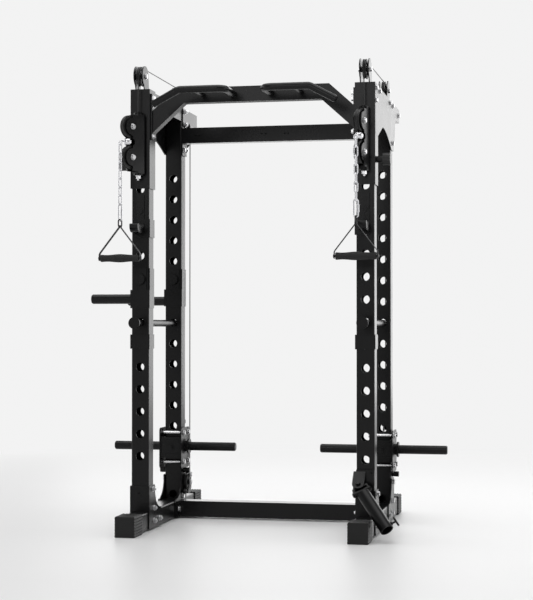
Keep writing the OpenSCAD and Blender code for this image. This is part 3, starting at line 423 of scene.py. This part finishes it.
@dataclass(frozen=True)
class Webbing:
    """Woven nylon strap: ribs across its width, rows of stitches near both edges."""

    name: str = "strap_webbing"
    dark: Vec = (0.008, 0.008, 0.009)
    light: Vec = (0.022, 0.022, 0.024)
    thread: Vec = (0.05, 0.05, 0.052)
    rib: float = 1.1 * MM
    row: float = 8.0 * MM
    row_sharp: float = 900.0
    stitch: float = 5.0 * MM
    stitch_gap: float = -0.35
    gloss: float = 0.72
    rib_gloss: float = 0.14
    depth: float = 0.35 * MM

    def build(self) -> bpy.types.Material:
        """The piece's UV map is in metres along (U) and across (V); ribs are sines of it.

        Returns:
            The finished material.
        """
        paint = Paint(self.name)
        along, across = paint.split(paint.node("ShaderNodeUVMap", {"uv_map": "metres"}))
        ribs = (along * (FULL_TURN / self.rib)).sine() * (across * (FULL_TURN / (2.0 * self.rib))).sine()
        row = 1.0 - ((across.absolute() - self.row).absolute() * self.row_sharp).clamped()
        dash = (along * (FULL_TURN / self.stitch)).sine() > self.stitch_gap
        seam = row * dash
        cloth = paint.blend(ribs * 0.5 + 0.5, self.dark, self.light)
        paint.set(
            Base_Color=paint.blend(seam, cloth, self.thread),
            Roughness=self.gloss + self.rib_gloss * ribs,
            Specular_IOR_Level=0.3,
            Sheen_Weight=0.25,
            Sheen_Roughness=0.5,
            Normal=paint.bump(ribs * 0.6 + seam, self.depth),
        )
        return paint.material


@dataclass(frozen=True)
class StudioFloor:
    """Pale seamless paper that keeps the cage's shadow and turns into the white backdrop further out."""

    name: str = "studio_paper"
    colour: Vec = (0.74, 0.74, 0.74)
    gloss: float = 0.45
    specular: float = 0.22
    white: float = 0.895
    near: float = 1.8
    far: float = 4.5

    def build(self) -> bpy.types.Material:
        """Near the cage a satin sheet; past it, rays that end in an eye or a mirror see plain white.

        Returns:
            The finished material.
        """
        paint = Paint(self.name)
        paint.set(Base_Color=self.colour, Roughness=self.gloss, Specular_IOR_Level=self.specular)
        reach = paint.node("ShaderNodeVectorMath", {"operation": "LENGTH"}, {0: paint.place()}, "Value")
        outer = ((reach - self.near) / (self.far - self.near)).clamped()
        glow = paint.node("ShaderNodeEmission", {}, {"Color": (1.0, 1.0, 1.0), "Strength": self.white})
        paint.cover(paint.seen() * outer, glow)
        return paint.material


class Finishes:
    """Every finish of the cage, built once and looked up by material slot."""

    def __init__(self) -> None:
        """Builds the materials."""
        black = dict(dark=(0.010, 0.010, 0.010), light=(0.022, 0.022, 0.022))
        deep = dict(dark=(0.004, 0.004, 0.004), light=(0.009, 0.009, 0.009))
        self.steel = PowderCoat().build()
        self.chrome = BrightMetal("chain_chrome", (0.80, 0.80, 0.82), 0.10, 0.08).build()
        self.zinc = BrightMetal("bolt_zinc", (0.78, 0.78, 0.79), 0.18, 0.16).build()
        lathe = (2440.0, 40.0, 40.0)
        self.turned = BrightMetal("roller_steel", (0.82, 0.82, 0.83), 0.16, 0.10, lathe).build()
        self.cap = Moulding("cap_rubber", gloss=0.55, grain=900.0, depth=0.3 * MM, **deep).build()
        self.nylon = Moulding("pulley_nylon", gloss=0.38, grain=1500.0, depth=0.1 * MM, **black).build()
        self.foam = Moulding("grip_foam", gloss=0.66, grain=1300.0, depth=0.3 * MM, **black).build()
        self.cable = Moulding("cable_coat", gloss=0.30, grain=1700.0, depth=0.06 * MM, **black).build()
        self.knob = Moulding("knob_plastic", gloss=0.32, grain=1200.0, depth=0.08 * MM, **black).build()
        self.webbing = Webbing().build()
        self.floor = StudioFloor().build()
        self.slots: dict[str, bpy.types.Material] = {
            "frame_steel": self.steel,
            "carriage_steel": self.steel,
            "bolt_chrome": self.zinc,
            "chain_chrome": self.chrome,
            "roller_steel": self.turned,
            "cap_rubber": self.cap,
            "pulley_nylon": self.nylon,
            "grip_rubber": self.foam,
            "strap_nylon": self.webbing,
            "cable_steel": self.cable,
            "knob_plastic": self.knob,
        }

    def dress(self, nodes: dict[str, bpy.types.Object], record: dict) -> None:
        """Gives every carried-over node the finish of its slot.

        Args:
            nodes: The frame's node objects by name.
            record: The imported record, whose subparts name each node's slot.
        """
        for part in record["subparts"]:
            holder = nodes[part["node"]]
            material = self.slots[part["material_slot"]]
            if not holder.material_slots:
                holder.data.materials.append(material)
            for place in holder.material_slots:
                place.material = material


# ------------------------------------------------------------------ surfaces


def unit(vectors: Array) -> Array:
    """Each row divided by its length."""
    return vectors / np.linalg.norm(vectors, axis=-1, keepdims=True)


def skin(
    name: str,
    grid: Array,
    round_u: bool = False,
    round_v: bool = False,
    caps: bool = False,
    uv: Array | None = None,
) -> bpy.types.Object:
    """Makes a mesh of quads from a grid of points.

    Quad (i, j) joins points (i, j), (i+1, j), (i+1, j+1) and (i, j+1); a ring along i closes on itself.

    Args:
        name: The piece's name.
        grid: Points as rows x columns x 3.
        round_u: Whether the columns close on themselves.
        round_v: Whether the rows do too, as on a ring.
        caps: Whether the first and last row get a fan to their middle.
        uv: A pair of numbers for each point, kept as the UV map "metres".

    Returns:
        The linked object.
    """
    rows, cols, _ = grid.shape
    points = grid.reshape(-1, 3)
    spans = np.arange(rows if round_v else rows - 1), np.arange(cols if round_u else cols - 1)
    i, j = np.meshgrid(*spans, indexing="ij")
    below, after = (i + 1) % rows, (j + 1) % cols
    corners = [i * cols + j, i * cols + after, below * cols + after, below * cols + j]
    quads = np.stack(corners, -1).reshape(-1, 4)
    faces = quads.tolist()
    if caps:
        points = np.vstack([points, grid[0].mean(0), grid[-1].mean(0)])
        ring = np.arange(cols)
        following = (ring + 1) % cols
        first = np.stack([following, ring, np.full(cols, rows * cols)], -1)
        last = np.stack([ring, following, np.full(cols, rows * cols + 1)], -1)
        last[:, :2] += (rows - 1) * cols
        faces += first.tolist() + last.tolist()
    mesh = bpy.data.meshes.new(name)
    mesh.from_pydata(points.tolist(), [], faces)
    mesh.polygons.foreach_set("use_smooth", np.ones(len(faces), dtype=bool))
    if uv is not None:
        layer = mesh.uv_layers.new(name="metres")
        index = np.zeros(len(mesh.loops), dtype=np.int32)
        mesh.loops.foreach_get("vertex_index", index)
        flat = np.vstack([uv.reshape(-1, 2), np.zeros((len(points) - rows * cols, 2))])
        layer.data.foreach_set("uv", flat[index].ravel())
    mesh.update()
    piece = bpy.data.objects.new(name, mesh)
    bpy.context.scene.collection.objects.link(piece)
    return piece


def carried(path: Array, profile: Array, up: Vec, closed: bool = False) -> Array:
    """A profile carried along a path.

    At each path point the tangent is the central difference, the side is up x tangent, and the profile's
    two coordinates run along the side and along tangent x side.

    Args:
        path: The path's points, n x 3.
        profile: The profile's points, m x 2, or n x m x 2 where it changes on the way.
        up: A direction that the path never follows.
        closed: Whether the path joins its own start.

    Returns:
        The grid, n x m x 3.
    """
    if closed:
        tangent = unit(np.roll(path, -1, 0) - np.roll(path, 1, 0))
    else:
        tangent = unit(np.gradient(path, axis=0))
    side = unit(np.cross(np.asarray(up), tangent))
    other = np.cross(tangent, side)
    shape = np.broadcast_to(profile, (len(path), *profile.shape[-2:]))
    return path[:, None, :] + shape[..., :1] * side[:, None, :] + shape[..., 1:] * other[:, None, :]


def steps(count: int) -> Array:
    """A full turn in equal steps, in radians."""
    return np.linspace(0.0, FULL_TURN, count, endpoint=False)


def ring_profile(radius: float, count: int) -> Array:
    """A circle's points: radius times (cos a, sin a) for equal steps of a.

    Args:
        radius: The circle's radius.
        count: How many points go round.

    Returns:
        The points, count x 2.
    """
    angle = steps(count)
    return radius * np.stack([np.cos(angle), np.sin(angle)], -1)


def squared(wave: Array, power: float) -> Array:
    """A cosine or sine drawn out towards a square wave: its sign times its size to a power below one."""
    return np.sign(wave) * np.abs(wave) ** power


def middle(node: str) -> Array:
    """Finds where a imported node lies.

    Args:
        node: The node's name.

    Returns:
        The middle of its box.
    """
    low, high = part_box(node)
    return (np.array(low) + np.array(high)) / 2.0


def arc(centre: Vec, first: Vec, second: Vec, start: float, stop: float, count: int) -> Array:
    """Points centre + first cos a + second sin a.

    Args:
        centre: The arc's middle.
        first: The arm at 0 degrees.
        second: The arm at 90 degrees.
        start: Where a begins, in degrees.
        stop: Where it ends.
        count: How many points.

    Returns:
        The points, count x 3.
    """
    angle = np.radians(np.linspace(start, stop, count))[:, None]
    return np.asarray(centre) + np.cos(angle) * np.asarray(first) + np.sin(angle) * np.asarray(second)


@dataclass(frozen=True)
class Crossing:
    """A joint that a piece reaches across: the two bodies, and where the piece leaves the first and meets
    the second.
    """

    first: str
    second: str
    start: Vec
    end: Vec


Carrier = Union[str, Crossing]


def finish_piece(
    piece: bpy.types.Object,
    material: bpy.types.Material,
    body: Carrier,
    replaced: Sequence[str] = (),
) -> bpy.types.Object:
    """Gives a piece its finish and its carrier, and hides the nodes that it stands for.

    Args:
        piece: The mesh object, its shape final.
        material: Its finish.
        body: The body that carries it, or the crossing that it reaches across, whereupon its transform is
            baked and no body carries it.
        replaced: The nodes that it stands for.

    Returns:
        The same piece.
    """
    piece.data.materials.append(material)
    if isinstance(body, Crossing):
        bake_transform(piece)
    else:
        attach(piece, body)
    if replaced:
        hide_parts(*replaced)
    LOG.info("%s: %d faces with %s", piece.name, len(piece.data.polygons), body)
    return piece


# ------------------------------------------------------------------ studio


@dataclass(frozen=True)
class SoftBox:
    """A lamp that shines from a rectangle, unseen itself; its turn is in degrees, its power in watts."""

    name: str
    place: Vec
    turn: Vec
    wide: float
    high: float
    power: float

    def build(self) -> None:
        """Hangs the lamp."""
        data = bpy.data.lights.new(self.name, "AREA")
        data.shape = "RECTANGLE"
        data.size, data.size_y, data.energy = self.wide, self.high, self.power
        holder = bpy.data.objects.new(self.name, data)
        holder.location = self.place
        holder.rotation_euler = tuple(math.radians(a) for a in self.turn)
        holder.visible_camera = False
        bpy.context.scene.collection.objects.link(holder)


SOFT_BOXES = (
    SoftBox("box_back", (1.2, 8.0, 3.0), (-90.0, 0.0, 0.0), 10.0, 5.6, 250.0),
    SoftBox("box_right", (4.6, 0.6, 2.7), (0.0, 82.0, 0.0), 3.8, 4.2, 80.0),
    SoftBox("box_left", (-4.6, 0.6, 2.7), (0.0, -82.0, 0.0), 3.8, 4.2, 70.0),
    SoftBox("box_top", (0.0, -0.5, 5.4), (0.0, 0.0, 0.0), 5.5, 5.5, 190.0),
    SoftBox("box_front", (-1.0, -7.5, 3.6), (66.0, 0.0, -7.0), 3.0, 3.0, 60.0),
)


@dataclass(frozen=True)
class Studio:
    """Camera, seamless paper, soft boxes and world."""

    eye: Vec = (1.4562, -7.0342, 0.9136)
    yaw: float = 11.725
    pitch: float = 1.009
    lens: float = 92.65
    sensor: float = 36.0
    sight: float = 100.0
    paper_half: float = 26.0
    paper_front: float = -26.0
    paper_back: float = 9.0
    paper_rise: float = 9.0
    sweep: float = 3.0
    backdrop: float = 0.895
    ambient: float = 0.30

    def camera(self) -> None:
        """A level camera, turned and tilted by two angles, with no shift."""
        data = bpy.data.cameras.new("camera")
        data.lens = self.lens
        data.sensor_width = self.sensor
        data.clip_end = self.sight
        holder = bpy.data.objects.new("camera", data)
        holder.location = self.eye
        holder.rotation_euler = (math.radians(90.0 + self.pitch), 0.0, math.radians(self.yaw))
        bpy.context.scene.collection.objects.link(holder)
        bpy.context.scene.camera = holder

    def paper(self, material: bpy.types.Material) -> None:
        """The sheet lies flat, bends up through a quarter circle and stands behind the cage.

        Args:
            material: Its finish.
        """
        flat = np.linspace((0.0, self.paper_front, 0.0), (0.0, self.paper_back, 0.0), 12)
        down, out = (0.0, 0.0, -self.sweep), (0.0, self.sweep, 0.0)
        bend = arc((0.0, self.paper_back, self.sweep), down, out, 0.0, 90.0, 24)
        foot = self.paper_back + self.sweep
        wall = np.linspace((0.0, foot, self.sweep), (0.0, foot, self.paper_rise), 8)
        line = np.vstack([flat[:-1], bend, wall[1:]])
        across = np.linspace(-self.paper_half, self.paper_half, 9)
        grid = np.repeat(line[None], len(across), 0)
        grid[..., 0] = across[:, None]
        sheet = skin("studio_paper", grid)
        sheet.data.materials.append(material)

    def world(self) -> None:
        """A plain dim room, white only where the camera looks past the paper."""
        world = bpy.data.worlds.new("studio")
        world.use_nodes = True
        tree = world.node_tree
        light = tree.nodes["Background"]
        rays = tree.nodes.new("ShaderNodeLightPath")
        level = tree.nodes.new("ShaderNodeMapRange")
        level.inputs["To Min"].default_value = self.ambient
        level.inputs["To Max"].default_value = self.backdrop
        tree.links.new(rays.outputs["Is Camera Ray"], level.inputs["Value"])
        tree.links.new(level.outputs[0], light.inputs["Strength"])
        light.inputs["Color"].default_value = (1.0, 1.0, 1.0, 1.0)
        bpy.context.scene.world = world
        bpy.context.scene.view_settings.view_transform = "Standard"

    def build(self, material: bpy.types.Material) -> None:
        """Sets the whole studio up.

        Args:
            material: The paper's finish.
        """
        self.paper(material)
        for box in SOFT_BOXES:
            box.build()
        self.world()


# ------------------------------------------------------------------ fittings


@dataclass
class Fitting:
    """What each sub-assembly of one side shares; turn is the swivel's, in degrees about its pivot."""

    side: Side
    turn: float
    finishes: Finishes

    @property
    def across(self) -> Array:
        """Along the swivel wheels' axles: level, of length one."""
        heading = math.radians(self.turn)
        return np.array([math.cos(heading), math.sin(heading), 0.0])

    @property
    def mouth(self) -> Array:
        """The way that the swivel faces: level, of length one, square to its axles."""
        return np.cross(self.across, UP)


@dataclass
class StrapHandle(Fitting):
    """A webbing strap under a long ring, down to both ends of a turning grip's rod."""

    strap_wide: float = 25.0 * MM
    strap_thick: float = 2.6 * MM
    strap_corner: float = 0.28
    strap_edge: float = 0.7
    knee_up: float = 20.0 * MM
    foot_down: float = 11.0 * MM
    leg_gap: float = 2.0 * MM
    leg_drop: float = 1.5 * MM
    gap: float = 0.6 * MM
    smoothings: int = 3
    keeper_half: float = 5.0 * MM
    keeper_deep: float = 5.4 * MM
    keeper_corner: float = 0.3
    keeper_edge: float = 0.5
    keeper_swell: float = 0.08
    rod_radius: float = 4.6 * MM
    nut_radius: float = 8.0 * MM
    nut_thick: float = 3.0 * MM
    nut_bevel: tuple[float, ...] = (0.0, 0.8 * MM, 3.0 * MM)
    ring_radius: float = 10.0 * MM
    ring_wire: float = 3.0 * MM
    ring_leg: float = 14.0 * MM
    grip_half: float = 88.0 * MM
    grip_radius: float = 18.5 * MM
    grip_waist: float = 1.8 * MM
    grip_round: float = 2.5 * MM
    grip_columns: int = 96
    ridge: float = 0.3 * MM
    ridge_pitch: float = 9.0 * MM
    ridge_starts: float = 16.0
    body: str = field(init=False)
    centre: Array = field(init=False)
    half: float = field(init=False)
    ring_z: float = field(init=False)
    apex: float = field(init=False)

    def __post_init__(self) -> None:
        """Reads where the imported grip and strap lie; half is the strap's half width without its nuts."""
        self.body = f"handle_{self.side.tag}"
        self.centre = middle(f"handle_grip_{self.side.tag}")
        low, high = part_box(f"handle_strap_{self.side.tag}")
        self.half = (high[0] - low[0]) / 2.0 - self.nut_thick
        self.ring_z = high[2] - self.ring_radius - self.ring_wire
        self.apex = self.ring_z - self.ring_leg - self.ring_radius + self.ring_wire - 1.0 * MM

    def _leg(self, sign: float) -> Array:
        """From the apex down one side: straight to the knee, then down past the rod, and smoothed.

        Args:
            sign: -1 for the left leg, 1 for the right one.

        Returns:
            The leg's middle line.
        """
        x, y, z = self.centre
        edge = x + sign * (self.half - self.strap_thick / 2.0 - self.gap)
        start = np.array([x + sign * self.leg_gap, y, self.apex - self.leg_drop])
        knee = np.array([edge, y, z + self.knee_up])
        foot = np.array([edge, y, z - self.foot_down])
        down = start + (knee - start) * np.linspace(0.0, 1.0, 40)[:, None]
        low = knee + (foot - knee) * np.linspace(0.0, 1.0, 12)[1:, None]
        path = np.vstack([down, low])
        for _ in range(self.smoothings):
            path[1:-1] = (path[:-2] + 2.0 * path[1:-1] + path[2:]) / 4.0
        return path

    def strap(self) -> None:
        """A flat band along both legs: a rounded rectangle, its wide side along Y, square to the path."""
        path = np.vstack([self._leg(-1.0)[::-1], self._leg(1.0)])
        length = np.concatenate([[0.0], np.cumsum(np.linalg.norm(np.diff(path, axis=0), axis=1))])
        angle = steps(36)
        wide = squared(np.cos(angle), self.strap_corner) * self.strap_wide / 2.0
        thick = squared(np.sin(angle), self.strap_edge) * self.strap_thick / 2.0
        grid = carried(path, np.stack([-thick, wide], -1), (0.0, 1.0, 0.0))
        metres = np.stack(np.broadcast_arrays(length[:, None], wide[None, :]), -1)
        band = skin(f"strap_{self.side.tag}", grid, round_u=True, caps=True, uv=metres)
        node = f"handle_strap_{self.side.tag}"
        finish_piece(band, self.finishes.webbing, self.body, (node,))

    def keeper(self) -> None:
        """A sewn sleeve that gathers the strap under the ring: rounded rectangles, fuller in the middle."""
        x, y, _ = self.centre
        z = self.apex + 1.0 * MM
        angle = steps(40)[None, :]
        rows = np.linspace(-1.0, 1.0, 9)[:, None]
        wide = squared(np.sin(angle), self.keeper_corner) * self.strap_wide / 2.0
        swell = self.keeper_deep * (1.0 + self.keeper_swell * (1.0 - rows**2))
        deep = squared(np.cos(angle), self.keeper_edge) * swell
        grid = np.stack(np.broadcast_arrays(x + deep, y + wide, z + self.keeper_half * rows), -1)
        metres = grid[..., [2, 1]] - np.array([z, y])
        piece = skin(f"strap_keeper_{self.side.tag}", grid, round_u=True, caps=True, uv=metres)
        finish_piece(piece, self.finishes.webbing, self.body)

    def ring(self) -> None:
        """A long black ring: a wire carried round two half circles and the straight legs between them."""
        x, y, _ = self.centre
        arms = -self.ring_radius * self.mouth, self.ring_radius * UP
        top = arc((x, y, self.ring_z), *arms, 0.0, 180.0, 24)
        low = arc((x, y, self.ring_z - self.ring_leg), *arms, 180.0, 360.0, 24)
        path = np.vstack([top, low])
        grid = carried(path, ring_profile(self.ring_wire, 16), self.across, closed=True)
        piece = skin(f"strap_ring_{self.side.tag}", grid, round_u=True, round_v=True)
        finish_piece(piece, self.finishes.knob, self.body)

    def _turned(self, name: str, stations: Array, radii: Array, count: int) -> bpy.types.Object:
        """A revolved piece about the grip's axis.

        Args:
            name: The piece's name.
            stations: Distances along X from the grip's middle.
            radii: A radius for each station, or one for each station and angle.
            count: How many points go round.

        Returns:
            The closed piece.
        """
        x, y, z = self.centre
        angle = steps(count)
        radius = np.broadcast_to(radii.reshape(len(stations), -1), (len(stations), count))
        along = np.broadcast_to(stations[:, None], radius.shape)
        grid = np.stack([x + along, y + radius * np.cos(angle), z + radius * np.sin(angle)], -1)
        return skin(name, grid, round_u=True, caps=True)

    def rod(self) -> None:
        """The grip's rod with a flat round nut outside each end of the strap."""
        out = self.half + self.nut_thick
        nut = self.nut_radius
        stations = np.array([0.0, self.half, self.half, out - 1.4 * MM, out - 0.5 * MM, out])
        radii = np.array([self.rod_radius, self.rod_radius, nut, *(nut - cut for cut in self.nut_bevel)])
        along = np.concatenate([-stations[::-1], stations[1:]])
        mirrored = np.concatenate([radii[::-1], radii[1:]])
        piece = self._turned(f"grip_rod_{self.side.tag}", along, mirrored, 36)
        finish_piece(piece, self.finishes.knob, self.body)

    def grip(self) -> None:
        """A waisted barrel with fine ridges on two crossing helices.

        Share runs from -1 to 1 along the grip. The radius is the grip's,
        less waist x (1 - cos(270 degrees x share)),
        less ridge x (1 - the greater of cos(starts x angle + along) and cos(starts x angle - along)).
        """
        share = np.linspace(-1.0, 1.0, 161)[:, None]
        around = self.ridge_starts * steps(self.grip_columns)[None, :]
        barrel = self.grip_radius + self.grip_waist * (np.cos(1.5 * math.pi * share) - 1.0)
        fade = np.clip((1.0 - np.abs(share)) * self.grip_half / (2.0 * self.grip_round), 0.0, 1.0)
        along = FULL_TURN * self.grip_half / self.ridge_pitch * share
        ridges = np.maximum(np.cos(around + along), np.cos(around - along))
        round_end = self.grip_round * (1.0 - np.sqrt(1.0 - (1.0 - fade) ** 2 * 0.96))
        radius = barrel + self.ridge * (fade * ridges - 1.0) - round_end
        stations = share[:, 0] * self.grip_half
        piece = self._turned(f"grip_barrel_{self.side.tag}", stations, radius, self.grip_columns)
        body = f"handle_grip_{self.side.tag}"
        finish_piece(piece, self.finishes.foam, body, (body,))

    def build(self) -> None:
        """Makes every piece of the handle."""
        self.strap()
        self.keeper()
        self.ring()
        self.rod()
        self.grip()


@dataclass
class Cables(Fitting):
    """The cable runs of one side: both lift runs and the pull run to the stop ball."""

    radius: float = 2.3 * MM
    wheel_radius: float = 47.5 * MM
    clear: float = 0.2 * MM
    pitch: float = 136.0 * MM
    ball_reach: float = 66.0 * MM
    lead: float = 6.0 * MM
    fixed_end: float = 20.0 * MM
    held: float = 0.26
    columns: int = 14

    def run(self, name: str, path: Array, up: Vec, body: Carrier, node: str = "") -> None:
        """One stretch of cable.

        Args:
            name: The piece's name.
            path: Its middle line.
            up: A direction that the line never follows.
            body: What carries it.
            node: The node that it stands for, if any.
        """
        grid = carried(path, ring_profile(self.radius, self.columns), up)
        piece = skin(name, grid, round_u=True, caps=True)
        finish_piece(piece, self.finishes.cable, body, (node,) if node else ())

    def lift(self) -> None:
        """Two upright runs above the lift pulley."""
        node = f"lift_cable_{self.side.tag}"
        low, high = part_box(node)
        x = (low[0] + high[0]) / 2.0
        for index, y in enumerate((low[1] + self.radius, high[1] - self.radius)):
            path = np.linspace((x, y, low[2]), (x, y, high[2]), 60)
            start, end = (x, y, low[2] + self.fixed_end), (x, y, high[2] - self.fixed_end)
            span = Crossing(f"carriage_{self.side.tag}", "root", start, end)
            name = f"lift_run_{self.side.tag}_{index}"
            self.run(name, path, (0.0, 1.0, 0.0), span, "" if index else node)

    def pull(self) -> None:
        """Down the swivel's axis, round the upper wheel's inner side, then straight to the ball.

        The wheel's groove circle touches the axis, and the last stretch is the tangent from it to the ball.
        That stretch is baked in place; its crossing runs from the swivel, about a quarter of the way along
        it, to the handle at the ball.
        """
        wheel = middle(f"swivel_pulley_{self.side.tag}_upper")
        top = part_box(f"swivel_block_{self.side.tag}")[1][2]
        mouth = self.mouth
        axis = wheel - mouth * self.groove
        drop = self.pitch / 2.0
        reach = self.ball_reach - self.groove
        lean = math.atan2(drop, reach) + math.acos(self.groove / math.hypot(reach, drop))
        down = axis + UP * np.linspace(top - wheel[2] + self.lead, 0.0, 12)[:-1, None]
        bend = arc(wheel, mouth * self.groove, UP * self.groove, 180.0, 360.0 - math.degrees(lean), 24)
        leaves = bend[-1]
        ball = axis + mouth * self.ball_reach - UP * drop
        straight = np.linspace(leaves, ball, 30)
        held = leaves + self.held * (ball - leaves)
        swivel, handle = f"swivel_{self.side.tag}", f"handle_{self.side.tag}"
        last = Crossing(swivel, handle, tuple(held), tuple(ball))
        self.run(f"pull_run_{self.side.tag}_upper", np.vstack([down, bend]), self.across, swivel)
        self.run(f"pull_run_{self.side.tag}_lower", straight, self.across, last)

    @property
    def groove(self) -> float:
        """Distance from a swivel wheel's axis to the middle of the cable in its groove."""
        return self.wheel_radius + self.radius + self.clear

    def build(self) -> None:
        """Makes every run of this side."""
        self.lift()
        self.pull()


@dataclass
class PlatedBolts(Fitting):
    """Plated hexagon heads on washers, each a close shell over the plain head of the node under it."""

    cheek: float = 19.0 * MM
    carriage_plate: float = 55.0 * MM
    liner_y: float = 286.0 * MM
    washer: float = 2.3 * MM
    washer_radius: float = 13.4 * MM
    washer_edge: float = 0.5 * MM
    height: float = 8.4 * MM
    head_radius: float = 11.4 * MM
    flat_radius: float = 9.3 * MM
    cone: float = 1.6 * MM
    cone_slope: float = 1.7
    columns: int = 48

    def rows(self, angle: Array) -> Array:
        """The washer's rim, then the hexagon, turned off to a cone at its top.

        A hexagon's radius is its corner's times cos 30 degrees / cos(angle from the middle of a flat).

        Args:
            angle: Where round the bolt.

        Returns:
            For each row its distance from the seat and its radius, at every angle.
        """
        half_side = FULL_TURN / 12.0
        bend = np.mod(angle, 2.0 * half_side) - half_side
        hexagon = self.head_radius * math.cos(half_side) / np.cos(bend)
        rim = ((0.0, 0.0), (self.washer - self.washer_edge, 0.0), (self.washer, -self.washer_edge))
        washer = [(z, np.full_like(angle, self.washer_radius + change)) for z, change in rim]
        tops = np.append(self.washer, np.linspace(self.height - self.cone, self.height, 5))
        turned = self.flat_radius + self.cone_slope * (self.height - tops)
        bolt = [(z, np.minimum(hexagon, radius)) for z, radius in zip(tops, turned)]
        return np.array([[np.full_like(angle, z), radius] for z, radius in washer + bolt])

    def place(self, name: str, seat: Array, outward: Array, body: str) -> None:
        """Sets one head on a seat.

        Args:
            name: The piece's name.
            seat: The middle of the washer's lower face.
            outward: Which way the head stands out, level and of length one.
            body: What carries it.
        """
        angle = steps(self.columns)
        ring = np.cos(angle)[:, None] * np.cross(UP, outward) + np.sin(angle)[:, None] * UP
        distance, radius = self.rows(angle)[..., None].swapaxes(0, 1)
        piece = skin(name, seat + distance * outward + radius * ring, round_u=True, caps=True)
        piece.data.shade_flat()
        finish_piece(piece, self.finishes.zinc, body)

    def on_swivel(self) -> None:
        """Both axles of the swivel block, on both cheeks."""
        body = f"swivel_{self.side.tag}"
        for level in ("upper", "lower"):
            axle = middle(f"swivel_pulley_{self.side.tag}_{level}")
            for hand, sign in (("left", -1.0), ("right", 1.0)):
                name = f"swivel_bolt_{self.side.tag}_{level}_{hand}"
                outward = sign * self.across
                self.place(name, axle + self.cheek * outward, outward, body)

    def on_carriage(self) -> None:
        """Both roller axles and the liner's bolts behind them, on both side plates."""
        body = f"carriage_{self.side.tag}"
        for level in ("upper", "lower"):
            axle = middle(f"roller_{self.side.tag}_{level}")
            for row, y in (("front", axle[1]), ("rear", self.liner_y)):
                for hand, sign in (("left", -1.0), ("right", 1.0)):
                    seat = np.array([axle[0] + sign * self.carriage_plate, y, axle[2]])
                    name = f"carriage_bolt_{self.side.tag}_{level}_{row}_{hand}"
                    self.place(name, seat, np.array([sign, 0.0, 0.0]), body)

    def build(self) -> None:
        """Makes every head of this side."""
        self.on_swivel()
        self.on_carriage()


# ------------------------------------------------------------------ main


def main() -> None:
    """Loads the frame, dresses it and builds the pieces."""
    logging.basicConfig(level=logging.INFO, format="%(name)s: %(message)s")
    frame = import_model()
    studio = Studio()
    studio.camera()
    finishes = Finishes()
    finishes.dress(frame["nodes"], frame["record"])
    for side, turn in SWIVEL_TURN.items():
        for kind in (StrapHandle, Cables, PlatedBolts):
            kind(side, turn, finishes).build()
    studio.build(finishes.floor)


if __name__ == "__main__":
    main()
